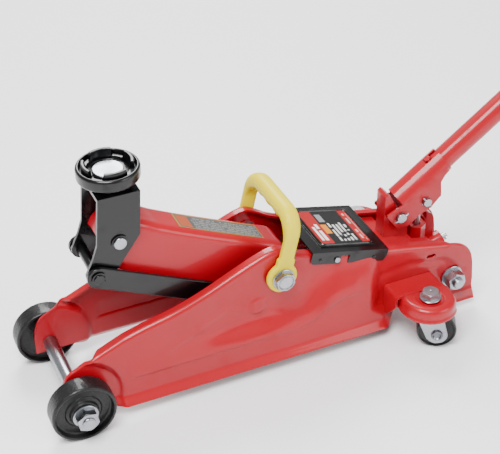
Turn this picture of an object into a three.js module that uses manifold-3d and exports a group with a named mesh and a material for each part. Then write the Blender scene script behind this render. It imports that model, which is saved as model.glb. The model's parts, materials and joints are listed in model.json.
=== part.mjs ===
// A small hydraulic trolley jack: pressed side plates on four wheels, a lift arm that carries a saddle,
// two levelling links, and a hydraulic unit worked by a long handle in a rocking socket.
// Millimetres. X runs from the front axle to the handle, +Z is up from the floor, Y = 0 is the middle plane.
import * as THREE from 'three';
import { mergeVertices } from 'three/addons/utils/BufferGeometryUtils.js';
import Module from 'manifold-3d';

const wasm = await Module();
wasm.setup();

// ---- Clearances and sheet ----
const gap = 0.3;
const plateSheet = 3;
const coverSheet = 1.6;

// ---- Chassis ----
const plateFront = -15;
const plateRear = 444;
const frontFace = 48; // outer face of a side plate at the front wheel, from the middle plane
const archFace = 52; // the same behind the wheel and along the low panel
const pivotFace = 43.5; // the same at the arm's shaft
const rearFace = 41; // the same under the cover and at the back
const plateBend = 22; // height where the bottom edge starts to flare
const plateLip = 12.5; // height of the flared edge
const lipOut = 8; // how far the bottom edge flares out
const topFlange = 9; // width of the flange turned in along the top edge
const leastFlange = 2.2; // what is left of it at the plate's two ends
const archInner = 40;
const archOuter = 47;
const slotPlace = { x: 389, z: 76.5 };

// ---- Front wheels ----
const wheelRadius = 32;
const wheelWidth = 20;
const wheelBack = 51; // inner side of a front wheel, from the middle plane
const axleRadius = 6;
const spacerRadius = 7.5;

// ---- Lift linkage ----
const armPivot = { x: 214, z: 110.5 };
const armLength = 169.8;
const armSlope = THREE.MathUtils.degToRad(25.5); // the arm falls this much towards the back
const armHalf = 20.4;
const armWall = 3.4;
const leverLength = 42;
const leverLean = THREE.MathUtils.degToRad(6);
const shaftRadius = 8;
const linkDrop = { x: 24, z: 30.5 }; // from an arm pivot to the link pivot below it
const linkHalfHeight = 10.8;
const linkInner = 26;
const linkSheet = 4;
const linkPinRadius = 5.2;
const armPinRadius = 6.2;
const cheekOuter = 24.5;
const cheekSheet = 3.5;
const bracketFront = -17.1; // from the arm's front pin
const bracketBack = 23.4;
const bracketTop = 50.5;

// ---- Saddle ----
const saddleRadius = 29.6;
const saddleRise = 6; // bracket top to the underside of the saddle ring
const crownRadius = 24;
const padRadius = 14.5;

// ---- Carry handle ----
const carryGrip = 8.2;
const carryReach = { x: 14, z: 61.5 }; // from the arm pivot to the middle of the grip
const carryHalf = 40.3;
const eyeRadius = 15.5;
const eyeThickness = 6.5;

// ---- Cover ----
const coverFront = 250;
const coverBack = 336;
const coverFrontTop = 124.6;
const coverBackTop = 103.8;
const coverHalf = 42.9;
const coverDrop = 14;

// ---- Hydraulic unit ----
const ramHeight = 74;
const ramRadius = 10;
const ramHead = 13;
const rollerRadius = 8;
const rollerGap = 1; // left between the ram and the roller, because the pair is opened there
const cylinderRadius = 20;
const cylinderFront = 256;
const baseFront = 336;
const baseBack = 406;
const bossBack = 428; // the bosses that take the rear studs
const baseFloor = 30;
const plugSeat = 66;
const rollerPinReach = 25;
const pumpX = 393.5;
const pumpSeat = 62;
const pumpTop = 92.4;
const pumpHex = 10.6;
const plungerRadius = 4;
const valveStart = { x: 396.4, z: 51.2 };
const valveSlope = THREE.MathUtils.degToRad(19);
const valveLength = 32;
const valveRadius = 10;
const valveStub = 4;

// ---- Handle and socket ----
const socketPivot = { x: 365.1, z: 116.1 };
const handleSlope = THREE.MathUtils.degToRad(36.4);
const handleOffset = 7.9; // handle axis above the socket's pivot
const handleRadius = 12.3;
const handleWall = 1.5;
const handleStart = 46; // along the handle axis, from the pivot
const handleJoint = 273;
const handleEnd = 503;
const socketMouth = 72.5;
const socketStart = 10;
const socketWall = 1.6;
const socketTrough = 46; // the socket is open below as far as this
const pivotPinRadius = 5.5;
const pumpPin = { along: 30.4, across: -8.6 };
const pumpPinRadius = 4.8;
const pinReach = 18;
const lugHalf = 8.5; // half the thickness of the base's lug between the socket's cheeks

// ---- Rear bolt and casters ----
const tieBolt = { x: 416.5, z: 42.5 };
const tieRadius = 6;
const casterAxis = { x: 366.5, y: 79.5 };
const casterRadius = 20.5;
const casterHalf = 10;
const casterTrail = 9;
const casterTurn = THREE.MathUtils.degToRad(-28);
const forkSheet = 2.5;
const forkHalf = 15;
const wingTop = 57;
const wingRim = 45;
const wingSheet = 3;
const wingCentre = { x: 368, y: 75 };
const wingRadius = 30;
const wingFront = 334;
const wingBack = 391;
const wingFoot = 22; // the front wall reaches down to this height beside the plate

// ---- Colours and finishes ----
const finishes = {
  red: [0xd0202a, 0.3, 0.0],
  black: [0x1b1b1d, 0.35, 0.0],
  yellow: [0xf5dd10, 0.4, 0.0],
  zinc: [0xc4c8cc, 0.3, 0.9],
  steel: [0x9a9da1, 0.35, 0.9],
  iron: [0x232326, 0.65, 0.1],
};

function finish(name) {
  const [color, roughness, metalness] = finishes[name];
  return new THREE.MeshStandardMaterial({ color, roughness, metalness });
}

// ---- Closed solids ----

// Leaves only merged positions, drops flat triangles and turns the faces outwards.
function closed(geometry) {
  const bare = geometry.index ? geometry.toNonIndexed() : geometry;
  bare.deleteAttribute('normal');
  bare.deleteAttribute('uv');
  const merged = mergeVertices(bare, 1e-3);
  const place = merged.attributes.position;
  const source = merged.index.array;
  const kept = [];
  const corners = [new THREE.Vector3(), new THREE.Vector3(), new THREE.Vector3()];
  let volume = 0;
  for (let i = 0; i < source.length; i += 3) {
    const face = [source[i], source[i + 1], source[i + 2]];
    if (new Set(face).size === 3) {
      face.forEach((vertex, corner) => corners[corner].fromBufferAttribute(place, vertex));
      volume += corners[0].dot(corners[1].clone().cross(corners[2]));
      kept.push(face);
    }
  }
  if (volume < 0) kept.forEach((face) => face.reverse());
  merged.setIndex(kept.flat());
  return merged;
}

function solid(geometry) {
  const mesh = closed(geometry);
  const vertProperties = new Float32Array(mesh.attributes.position.array);
  const triVerts = new Uint32Array(mesh.index.array);
  return new wasm.Manifold(new wasm.Mesh({ numProp: 3, vertProperties, triVerts }));
}

function geometryOf(body) {
  const { vertProperties, triVerts } = body.getMesh();
  const geometry = new THREE.BufferGeometry();
  geometry.setAttribute('position', new THREE.BufferAttribute(new Float32Array(vertProperties), 3));
  geometry.setIndex(new THREE.BufferAttribute(new Uint32Array(triVerts), 1));
  return geometry;
}

function join(first, ...rest) {
  return geometryOf(rest.reduce((sum, piece) => sum.add(solid(piece)), solid(first)));
}

function cut(first, ...tools) {
  return geometryOf(tools.reduce((rest, tool) => rest.subtract(solid(tool)), solid(first)));
}

// ---- Basic shapes, placed in the jack's frame ----

function outline(points) {
  return new THREE.Shape(points.map(([x, y]) => new THREE.Vector2(x, y)));
}

// An outline drawn in X and Z, given thickness along Y.
function slab(shape, yLow, yHigh, curveSegments = 8) {
  const depth = yHigh - yLow;
  const geometry = new THREE.ExtrudeGeometry(shape, { depth, bevelEnabled: false, curveSegments });
  return geometry.rotateX(Math.PI / 2).translate(0, yHigh, 0);
}

function rodY(radius, yLow, yHigh, x = 0, z = 0, sides = 16) {
  const rod = new THREE.CylinderGeometry(radius, radius, yHigh - yLow, sides);
  return rod.translate(x, (yLow + yHigh) / 2, z);
}

function rodZ(radius, zLow, zHigh, x = 0, y = 0, sides = 16) {
  const rod = new THREE.CylinderGeometry(radius, radius, zHigh - zLow, sides);
  return rod.rotateX(Math.PI / 2).translate(x, y, (zLow + zHigh) / 2);
}

function rodX(radius, xLow, xHigh, y = 0, z = 0, sides = 20) {
  const rod = new THREE.CylinderGeometry(radius, radius, xHigh - xLow, sides);
  return rod.rotateZ(Math.PI / 2).translate((xLow + xHigh) / 2, y, z);
}

function box(xLow, xHigh, yLow, yHigh, zLow, zHigh) {
  const geometry = new THREE.BoxGeometry(xHigh - xLow, yHigh - yLow, zHigh - zLow);
  return geometry.translate((xLow + xHigh) / 2, (yLow + yHigh) / 2, (zLow + zHigh) / 2);
}

// A closed profile of radius and height turned about the Y axis.
function turned(profile, segments = 28) {
  const points = [...profile, profile[0]].map(([radius, height]) => new THREE.Vector2(radius, height));
  return new THREE.LatheGeometry(points, segments);
}

// A capsule outline between two points of the XZ plane.
function capsule(from, to, radius) {
  const angle = Math.atan2(to.z - from.z, to.x - from.x);
  const shape = new THREE.Shape();
  shape.absarc(to.x, to.z, radius, angle - Math.PI / 2, angle + Math.PI / 2, false);
  shape.absarc(from.x, from.z, radius, angle + Math.PI / 2, angle + (3 * Math.PI) / 2, false);
  return shape;
}

function ease(low, high, value) {
  return THREE.MathUtils.smoothstep(value, low, high);
}

function mix(low, high, share) {
  return THREE.MathUtils.lerp(low, high, share);
}

const jack = new THREE.Group();

function add(name, geometry, finishName, parent = jack) {
  const mesh = new THREE.Mesh(closed(geometry), finish(finishName));
  mesh.name = name;
  parent.add(mesh);
  return mesh;
}

const sides = [
  { name: 'left', sign: -1 },
  { name: 'right', sign: 1 },
];

// Builds something on the right-hand side and mirrors it for the left.
function mirrored(geometry, sign) {
  return sign > 0 ? geometry : closed(geometry).clone().scale(1, -1, 1);
}

// ---- Side plates ----

// Height of a plate's top edge, read from a smooth outline.
const plateTop = new THREE.Path();
plateTop.moveTo(plateFront - 0.8, 30);
plateTop.lineTo(plateFront, 40);
plateTop.quadraticCurveTo(plateFront + 2, 64, 0, 67.5);
plateTop.lineTo(16, 77);
plateTop.lineTo(50, 92);
plateTop.bezierCurveTo(80, 102, 120, 107, 150, 118);
plateTop.bezierCurveTo(180, 128, 198, 140, 212, 139.5);
plateTop.quadraticCurveTo(218, 139, 235, 127);
plateTop.lineTo(coverFront, coverFrontTop - 2 * coverSheet);
plateTop.lineTo(coverBack, coverBackTop - 2 * coverSheet);
plateTop.lineTo(378, 92);
plateTop.lineTo(414, 84);
plateTop.quadraticCurveTo(440, 79, plateRear - 2, 54);
plateTop.lineTo(plateRear, 34);
const plateTopPoints = plateTop.getPoints(10);

function plateTopAt(x) {
  const next = Math.max(1, plateTopPoints.findIndex((point) => point.x >= x));
  const [a, b] = [plateTopPoints[next - 1], plateTopPoints[next]];
  return mix(a.y, b.y, (x - a.x) / (b.x - a.x));
}

// Distance of a plate's outer face from the middle plane: in behind the wheel, out along the low
// panel that ends ahead of the caster, and tapering in towards the cover above it.
function plateFaceAt(x, z) {
  const arch = ease(archInner, archOuter, Math.hypot(x, z - wheelRadius));
  const front = mix(frontFace, archFace, arch);
  const high = mix(mix(front, pivotFace, ease(88, 180, x)), rearFace, ease(230, 250, x));
  const low = mix(front, rearFace, ease(312, 332, x));
  const crease = mix(48, 64, ease(180, 320, x));
  return mix(low, high, ease(crease, crease + 16, z));
}

// The outer side of a plate at one station, from the flared lip up to the flange's inner edge.
function plateProfile(x) {
  const top = plateTopAt(x);
  const flare = ease(26, 40, x) * (1 - ease(312, 328, x)) + ease(402, 412, x);
  const flange = Math.max(leastFlange, topFlange * ease(14, 26, x) * (1 - ease(404, 416, x)));
  const bend = mix(plateBend + 1, plateBend, flare);
  const lip = mix(bend - 2, x > 360 ? plateLip - 4 : plateLip, flare);
  const points = [[plateFaceAt(x, bend) + lipOut * flare, lip]];
  const rows = 6;
  for (let row = 0; row <= rows; row += 1) {
    const z = mix(bend, top - 1, row / rows);
    points.push([plateFaceAt(x, z), z]);
  }
  points.push([plateFaceAt(x, top) - 1, top]);
  points.push([plateFaceAt(x, top) - 1 - flange, top]);
  return points;
}

// The inner side: the same points moved in by the sheet's thickness, and kept below the top flange.
function insideOf(profile) {
  const foot = profile[1][1];
  const top = profile[profile.length - 1][1];
  const squeeze = (top - 1 - plateSheet - foot) / (top - 1 - foot);
  const web = profile.slice(1, -2).map(([y, z]) => [y - plateSheet, foot + (z - foot) * squeeze]);
  const [bend, end] = profile.slice(-2);
  return [
    [profile[0][0] - plateSheet, profile[0][1]],
    ...web,
    [bend[0] + 1 - plateSheet, top - plateSheet],
    [end[0], top - plateSheet],
  ];
}

function pressedPlate() {
  const stations = [];
  for (let x = plateFront; x < 60; x += 9) stations.push(x);
  for (let x = 60; x < 190; x += 26) stations.push(x);
  for (let x = 190; x < 250; x += 10) stations.push(x);
  for (let x = 250; x < 330; x += 20) stations.push(x);
  for (let x = 330; x < 400; x += 24) stations.push(x);
  for (let x = 400; x < plateRear; x += 9) stations.push(x);
  stations.push(plateRear);
  const loops = stations.map((x) => {
    const outer = plateProfile(x);
    return [...outer, ...insideOf(outer).reverse()].map(([y, z]) => new THREE.Vector3(x, y, z));
  });
  return skin(loops, (loop) => stripCap(loop));
}

// Joins equal loops of points into a closed skin; the cap function gives the end loops' triangles.
function skin(loops, cap) {
  const count = loops[0].length;
  const faces = [];
  for (let i = 0; i + 1 < loops.length; i += 1) {
    for (let j = 0; j < count; j += 1) {
      const next = (j + 1) % count;
      const [a, b] = [i * count + j, i * count + next];
      faces.push([a, b, a + count], [b, b + count, a + count]);
    }
  }
  const start = cap(loops[0]);
  const end = cap(loops[loops.length - 1]);
  const last = (loops.length - 1) * count;
  start.forEach(([a, b, c]) => faces.push([a, c, b]));
  end.forEach(([a, b, c]) => faces.push([last + a, last + b, last + c]));
  const geometry = new THREE.BufferGeometry();
  geometry.setFromPoints(loops.flat());
  geometry.setIndex(faces.flat());
  return geometry;
}

// Caps a loop that is an outer row followed by its inner row reversed.
function stripCap(loop) {
  const faces = [];
  const last = loop.length - 1;
  for (let j = 0; j + 1 < loop.length / 2; j += 1) {
    faces.push([j, j + 1, last - j], [j + 1, last - j - 1, last - j]);
  }
  return faces;
}

// Caps a round loop with a fan.
function fanCap(loop) {
  return loop.slice(2).map((_, index) => [0, index + 1, index + 2]);
}

const linkPivot = { x: armPivot.x - linkDrop.x, z: armPivot.z - linkDrop.z };
const studRadius = 5.2;

function sidePlate(sign) {
  const slotStart = { x: slotPlace.x - 3, z: slotPlace.z - 1.5 };
  const slotEnd = { x: slotPlace.x + 3, z: slotPlace.z + 1.5 };
  const plate = cut(
    pressedPlate(),
    rodY(axleRadius + gap, 30, 60, 0, wheelRadius),
    rodY(shaftRadius + gap, 30, 60, armPivot.x, armPivot.z),
    rodY(studRadius + gap, 30, 60, linkPivot.x, linkPivot.z),
    rodY(tieRadius + gap, 30, 60, tieBolt.x, tieBolt.z),
    slab(capsule(slotStart, slotEnd, 2.2), 30, 60),
  );
  return mirrored(plate, sign);
}

for (const { name, sign } of sides) add(`side_plate_${name}`, sidePlate(sign), 'red');

// ---- Front axle and wheels ----

const axleEnd = wheelBack + wheelWidth + 13;
const spacerHalf = frontFace - plateSheet - gap;

add('front_axle', rodY(axleRadius, -axleEnd, axleEnd), 'zinc').position.z = wheelRadius;
const spacer = cut(rodY(spacerRadius, -spacerHalf, spacerHalf), rodY(axleRadius + gap, -60, 60));
add('front_spacer_tube', spacer, 'zinc').position.z = wheelRadius;

// Half of a wheel's section, from the bore outwards: hub, dished web and rim.
function wheelProfile(radius, width, bore, rim) {
  const inner = radius - rim;
  const hub = bore + rim;
  const dish = width * 0.2;
  return [
    [bore, 0], [hub, 0], [hub + 1, dish], [inner - 1, dish], [inner, 0], [radius - 1.6, 0], [radius, 1.8],
    [radius, width - 1.8], [radius - 1.6, width], [inner, width], [inner - 1, width - dish],
    [hub + 1, width - dish], [hub, width], [bore, width],
  ];
}

const washerSheet = 2;
for (const { name, sign } of sides) {
  const wheel = turned(wheelProfile(wheelRadius, wheelWidth, axleRadius + gap, 4), 26);
  const wheelMesh = add(`front_wheel_${name}`, mirrored(wheel.translate(0, wheelBack, 0), sign), 'iron');
  wheelMesh.position.z = wheelRadius;
  const nutStart = wheelBack + wheelWidth + gap;
  const nut = cut(
    join(rodY(12.5, nutStart, nutStart + washerSheet), rodY(10.4, nutStart + 1, nutStart + 10, 0, 0, 6)),
    rodY(axleRadius + gap, 0, 100),
  );
  add(`front_nut_${name}`, mirrored(nut, sign), 'zinc').position.z = wheelRadius;
}

// ---- Lift arm: drawn along its own line, u from the front pin to the shaft, v square above it ----

const armFront = {
  x: armPivot.x - armLength * Math.cos(armSlope),
  z: armPivot.z + armLength * Math.sin(armSlope),
};
const lever = {
  x: armPivot.x - leverLength * Math.sin(leverLean),
  z: armPivot.z - leverLength * Math.cos(leverLean),
};
const leverAlong = (lever.x - armFront.x) * Math.cos(armSlope) - (lever.z - armFront.z) * Math.sin(armSlope);
const leverAcross = (lever.x - armFront.x) * Math.sin(armSlope) + (lever.z - armFront.z) * Math.cos(armSlope);

// Places a shape drawn in u and v on the arm's line.
function onArm(geometry) {
  return geometry.rotateY(armSlope).translate(armFront.x, 0, armFront.z);
}

// The arm's side outline, drawn smaller by inset except at the open underside.
function armOutline(inset, below) {
  const shape = new THREE.Shape();
  shape.moveTo(-12.6 + inset, -9.7 - below);
  shape.lineTo(-4 + inset, -14 - below);
  shape.lineTo(4 + inset, -24 - below);
  shape.lineTo(10 + inset, -29.5 - below);
  shape.lineTo(25, -32 - below);
  shape.lineTo(128, -34 - below);
  shape.lineTo(leverAlong - 12, leverAcross - 7 - below);
  shape.absarc(leverAlong, leverAcross - below, 11 - inset, -2.2, 0.1, false);
  shape.absarc(armLength, 0, 21 - inset, -0.5, Math.PI / 2, false);
  shape.bezierCurveTo(125, 19 - inset, 70, 18 - inset, 36, 19.5 - inset);
  shape.quadraticCurveTo(14, 22.5 - inset, 2, 19.5 - inset);
  shape.quadraticCurveTo(-11 + inset, 16 - inset, -13.5 + inset, 3);
  return shape;
}

function liftArm() {
  const outer = onArm(slab(armOutline(0, 0), -armHalf, armHalf, 4));
  const hollow = onArm(slab(armOutline(armWall, 30), armWall - armHalf, armHalf - armWall, 4));
  const inner = armHalf - armWall;
  const back = onArm(box(armLength - 50, armLength + 60, -inner, inner, -90, -12));
  return cut(
    outer,
    hollow,
    back,
    rodY(armPinRadius + gap, -30, 30, armFront.x, armFront.z),
    rodY(shaftRadius + gap, -30, 30, armPivot.x, armPivot.z),
    rodY(5 + gap, -30, 30, lever.x, lever.z),
  );
}

add('lift_arm', liftArm(), 'red');
add('arm_front_pin', rodY(armPinRadius, -28, 28, armFront.x, armFront.z), 'zinc');

const eyeStart = pivotFace + 0.8;
const shaftEnd = eyeStart + eyeThickness + 7;
add('arm_shaft', rodY(shaftRadius, -shaftEnd, shaftEnd, armPivot.x, armPivot.z), 'zinc');
for (const { name, sign } of sides) {
  const tube = cut(
    rodY(11, armHalf + 0.6, pivotFace - plateSheet - 0.5, armPivot.x, armPivot.z),
    rodY(shaftRadius + gap, 0, 80, armPivot.x, armPivot.z),
  );
  add(`shaft_spacer_${name}`, mirrored(tube, sign), 'steel');
  const nutStart = eyeStart + eyeThickness + gap;
  const nut = cut(
    rodY(10.6, nutStart, nutStart + 6, armPivot.x, armPivot.z, 6),
    rodY(shaftRadius + gap, 0, 80, armPivot.x, armPivot.z),
  );
  add(`arm_nut_${name}`, mirrored(nut, sign), 'zinc');
}

const rollerHalf = 14;
const rollerPin = 5;
const roller = cut(
  rodY(rollerRadius, -rollerHalf, rollerHalf, lever.x, lever.z),
  rodY(rollerPin + gap, -30, 30, lever.x, lever.z),
);
add('push_roller', roller, 'steel');
add('roller_pin', rodY(rollerPin, -rollerPinReach, rollerPinReach, lever.x, lever.z), 'steel');

// ---- Levelling links ----

const linkFront = { x: armFront.x - linkDrop.x, z: armFront.z - linkDrop.z };

function linkBar(sign) {
  const bar = cut(
    slab(capsule(linkFront, linkPivot, linkHalfHeight), linkInner, linkInner + linkSheet, 10),
    rodY(linkPinRadius + gap, 0, 60, linkFront.x, linkFront.z),
    rodY(studRadius + gap, 0, 60, linkPivot.x, linkPivot.z),
  );
  return mirrored(bar, sign);
}

// A headed stud riveted through the plate, which carries the back end of a link.
function linkStud(sign) {
  const reach = pivotFace - plateSheet - 0.5;
  const stud = join(
    rodY(studRadius, linkInner - 0.2, pivotFace + 0.6, linkPivot.x, linkPivot.z),
    rodY(studRadius + 3, linkInner + linkSheet + gap, reach, linkPivot.x, linkPivot.z),
  );
  return mirrored(stud, sign);
}

for (const { name, sign } of sides) {
  add(`link_bar_${name}`, linkBar(sign), 'black');
  add(`link_stud_${name}`, linkStud(sign), 'steel');
}
const linkRodEnd = linkInner + linkSheet + 3;
add('link_rod', rodY(linkPinRadius, -linkRodEnd, linkRodEnd, linkFront.x, linkFront.z), 'black');

// ---- Saddle bracket and saddle ----

function saddleBracket() {
  const shape = new THREE.Shape();
  const { x, z } = armFront;
  shape.moveTo(x + bracketFront, z + bracketTop);
  shape.lineTo(x + bracketFront - 4.3, z + 1.2);
  shape.lineTo(x - 26.4, z - 13.1);
  shape.lineTo(linkFront.x - 10, linkFront.z + 2);
  shape.absarc(linkFront.x, linkFront.z, 10, Math.PI, 1.8 * Math.PI, false);
  shape.lineTo(x - 3, z - 28.5);
  shape.lineTo(x + bracketBack - 3, z + 3.7);
  shape.lineTo(x + bracketBack, z + bracketTop);
  const cheekInner = cheekOuter - cheekSheet;
  return cut(
    slab(shape, -cheekOuter, cheekOuter),
    box(0, 120, -cheekInner, cheekInner, 100, z + bracketTop - cheekSheet),
    rodY(armPinRadius + gap, -40, 40, x, z),
    rodY(linkPinRadius + gap, -40, 40, linkFront.x, linkFront.z),
    rodZ(6 + gap, z, z + 100, saddleX, 0),
  );
}

const saddleX = armFront.x + 2;
const bracketTopZ = armFront.z + bracketTop;
add('saddle_bracket', saddleBracket(), 'black');

// The saddle: a heavy ring, a groove, and a crown whose wall is broken by four notches.
function saddleCup() {
  const top = saddleRise + 13;
  const floor = saddleRise + 6;
  const profile = [
    [6 + gap, gap], [16, gap], [18, saddleRise], [saddleRadius - 2, saddleRise], [saddleRadius, saddleRise + 2],
    [saddleRadius, top - 2], [saddleRadius - 1.5, top], [saddleRadius - 3.5, top], [saddleRadius - 4, floor + 2],
    [crownRadius, floor + 2], [crownRadius, top + 4], [crownRadius - 3.5, top + 4], [crownRadius - 4.5, floor],
    [6 + gap, floor],
  ];
  let cup = solid(turned(profile, 24));
  for (let notch = 0; notch < 4; notch += 1) {
    const tool = box(crownRadius - 7, crownRadius + 0.4, floor + 3.5, top + 8, -6.5, 6.5);
    cup = cup.subtract(solid(tool.rotateY(Math.PI / 4 + (notch * Math.PI) / 2)));
  }
  return geometryOf(cup).rotateX(Math.PI / 2);
}

add('saddle_cup', saddleCup(), 'black').position.set(saddleX, 0, bracketTopZ);
const padFloor = bracketTopZ + saddleRise + 6 + gap;
const saddleBolt = join(rodZ(padRadius, padFloor, padFloor + 2.5), rodZ(6, bracketTopZ - 14, padFloor + 1));
add('saddle_bolt', saddleBolt, 'zinc').position.x = saddleX;
const saddleNutTop = bracketTopZ - cheekSheet - gap;
const saddleNut = cut(
  rodZ(10.4, saddleNutTop - 7, saddleNutTop, 0, 0, 6),
  rodZ(6 + gap, saddleNutTop - 20, saddleNutTop + 20),
);
add('saddle_nut', saddleNut, 'zinc').position.x = saddleX;

// ---- Carry handle: a moulded grip whose two legs end in eyes on the arm shaft ----

function carryHandle() {
  const { x, z } = armPivot;
  const at = (up, y) => new THREE.Vector3(x + carryReach.x * up, y, z + carryReach.z * up);
  const legOut = eyeStart + eyeThickness / 2 + 0.6;
  const path = new THREE.CurvePath();
  path.add(new THREE.LineCurve3(at(0.1, -legOut), at(0.62, -legOut)));
  const bend = [at(0.62, -legOut), at(0.95, -legOut), at(1, -carryHalf - 5), at(1, -26)];
  path.add(new THREE.CubicBezierCurve3(...bend));
  path.add(new THREE.LineCurve3(at(1, -26), at(1, 26)));
  const farBend = bend.reverse().map((point) => point.clone().multiply(new THREE.Vector3(1, -1, 1)));
  path.add(new THREE.CubicBezierCurve3(...farBend));
  path.add(new THREE.LineCurve3(at(0.62, legOut), at(0.1, legOut)));
  const section = new THREE.Shape().absarc(0, 0, carryGrip, 0, 2 * Math.PI);
  const tube = new THREE.ExtrudeGeometry(section, { extrudePath: path, steps: 26, curveSegments: 3 });
  const clear = eyeStart;
  const legLimit = eyeStart + eyeThickness + 6;
  const limb = cut(
    tube,
    rodY(49, -clear, clear, x, z, 24),
    box(x - 80, x + 80, legLimit - 4, 90, 0, 300),
    box(x - 80, x + 80, -90, 4 - legLimit, 0, 300),
    rodY(17, -90, -eyeStart - eyeThickness, x, z),
    rodY(17, eyeStart + eyeThickness, 90, x, z),
  );
  const eye = () => rodY(eyeRadius, eyeStart, eyeStart + eyeThickness, x, z, 20);
  const eyes = sides.map(({ sign }) => mirrored(eye(), sign));
  return cut(join(limb, ...eyes), rodY(shaftRadius + gap, -90, 90, x, z));
}

add('carry_handle', carryHandle(), 'yellow');

// ---- Top cover ----

const coverSlope = Math.atan2(coverFrontTop - coverBackTop, coverBack - coverFront);
const coverLength = Math.hypot(coverBack - coverFront, coverFrontTop - coverBackTop);

// Places a shape drawn along the cover, from its front edge, on the cover's slope.
function onCover(geometry) {
  return geometry.rotateY(coverSlope).translate(coverFront, 0, coverFrontTop);
}

function topCover() {
  const shape = new THREE.Shape();
  shape.moveTo(0, 0);
  shape.lineTo(0, -coverDrop + 6);
  shape.quadraticCurveTo(0, -coverDrop, 6, -coverDrop);
  shape.lineTo(coverLength - 3, -coverDrop);
  shape.lineTo(coverLength, -coverDrop + 6);
  shape.lineTo(coverLength, 0);
  const notch = outline([[34, 1 - coverSheet - 4], [44, 1 - coverSheet - 4], [42, -30], [34, -30]]);
  const inner = coverHalf - coverSheet;
  const panel = join(
    slab(shape, -coverHalf, coverHalf, 4),
    box(13, coverLength - 12, -34, 34, -1, 1.6),
  );
  const open = cut(
    panel,
    box(-1, coverLength + 1, -inner, inner, -40, -coverSheet),
    box(15, coverLength - 14, -32, 32, -40, 1.6 - coverSheet),
    slab(notch, -60, 60),
    rodY(1.8, -60, 60, 30, -9, 12),
  );
  return onCover(open);
}

add('top_cover', topCover(), 'black');
for (const { name, sign } of sides) {
  const screw = join(
    rodY(3, coverHalf + gap, coverHalf + 1.8, 30, -9),
    rodY(1.4, coverHalf - 1.8, coverHalf + 1, 30, -9, 12),
  );
  add(`cover_screw_${name}`, onCover(mirrored(screw, sign)), 'zinc');
}

// ---- Hydraulic base, cylinder and ram ----

const baseHalf = rearFace - plateSheet - gap;

// Places a shape drawn along X on the release valve's sloping axis.
function onValve(geometry) {
  return geometry.rotateY(-valveSlope).translate(valveStart.x, 0, valveStart.z);
}

function hydraulicBase() {
  const body = outline([
    [baseFront, baseFloor + 6], [baseFront + 6, baseFloor], [bossBack - 2, baseFloor], [bossBack, baseFloor + 4],
    [bossBack, 61], [baseBack, 66], [baseBack, 72], [baseBack - 8, 82], [366, 88], [baseFront, 94],
  ]);
  const block = slab(body, -baseHalf, baseHalf);
  const recess = box(380, baseBack + 30, -15, 20, pumpSeat, 150);
  const sideRecess = box(358, baseBack + 30, 22, baseHalf + 5, plugSeat, 150);
  const rearRecess = box(baseBack, baseBack + 30, -21, 21, 0, 90);
  const hollow = cut(block, recess, sideRecess, rearRecess);
  const pivotLug = outline([
    [349.5, 86], [349, 141], [351.5, 143.6], [354.5, 142], [362.6, 126.6], [374, 117], [378, 108], [378, 84],
  ]);
  const rearLug = new THREE.Shape();
  rearLug.moveTo(404.6, 60);
  rearLug.lineTo(416.5, 60);
  rearLug.absarc(403.5, 88, 13, 0, 1.486, false);
  const boss = onValve(rodX(valveRadius, 8, valveLength, 0, 0, 16));
  const bore = onValve(rodX(valveStub + gap, valveLength - 16, valveLength + 10, 0, 0, 16));
  return cut(
    join(hollow, slab(pivotLug, -lugHalf, lugHalf), slab(rearLug, 1, 9), boss),
    bore,
    rodY(pivotPinRadius + gap, -30, 30, socketPivot.x, socketPivot.z),
    rodZ(plungerRadius + 1, pumpSeat - 22, pumpTop, pumpX, 0),
    rodZ(4 + gap, plugSeat - 9, plugSeat + 9, 368, 29.5, 12),
    rodX(ramRadius + 0.4, baseFront - 5, baseFront + 10, 0, ramHeight),
    rodY(tieRadius + gap, -60, -24, tieBolt.x, tieBolt.z),
    rodY(tieRadius + gap, 24, 60, tieBolt.x, tieBolt.z),
  );
}

add('hydraulic_base', hydraulicBase(), 'red');

const cylinder = cut(
  rodX(cylinderRadius, cylinderFront, baseFront - gap, 0, ramHeight),
  rodX(ramRadius + gap, cylinderFront - 1, baseFront + 1, 0, ramHeight),
);
add('cylinder', cylinder, 'steel');

const ramFace = lever.x + rollerRadius + rollerGap;
const ramBack = 294;
const ram = join(
  rodX(ramHead, ramFace, ramFace + 6, 0, ramHeight),
  rodX(ramRadius, ramFace + 3, ramBack, 0, ramHeight),
);
add('ram', ram, 'zinc');

// The plug closes the oil filler in the block's side step.
const plug = join(rodZ(4, plugSeat - 8, plugSeat + 3, 0, 0, 12), rodZ(6.5, plugSeat + gap, plugSeat + 5, 0, 0, 6));
add('filler_plug', plug, 'zinc').position.set(368, 29.5, 0);

// ---- Pump and release valve ----

const pumpBody = cut(
  rodZ(pumpHex, pumpSeat + 3, pumpTop, pumpX, 0, 6),
  rodZ(plungerRadius + gap, pumpSeat - 5, pumpTop + 5, pumpX, 0),
);
add('pump_body', pumpBody, 'red');

const handleAxis = new THREE.Vector2(Math.cos(handleSlope), Math.sin(handleSlope));

// A point given along and across the handle's line, from the socket's pivot.
function onHandle(along, across) {
  return {
    x: socketPivot.x + along * handleAxis.x - across * handleAxis.y,
    z: socketPivot.z + along * handleAxis.y + across * handleAxis.x,
  };
}

const pumpPinAt = onHandle(pumpPin.along, pumpPin.across);

function plunger() {
  const slotHalf = 2.8; // the pin's sideways travel in the eye
  const slotMiddle = pumpPinAt.x;
  const front = { x: slotMiddle - slotHalf, z: pumpPinAt.z };
  const back = { x: slotMiddle + slotHalf, z: pumpPinAt.z };
  const eye = slab(capsule(front, back, pumpPinRadius + 4), -4.5, 4.5);
  const slot = slab(capsule(front, back, pumpPinRadius + 1.3), -10, 10);
  return cut(join(rodZ(plungerRadius, pumpSeat + 2, pumpPinAt.z - 6.5, pumpX, 0), eye), slot);
}

add('plunger', plunger(), 'zinc');

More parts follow.
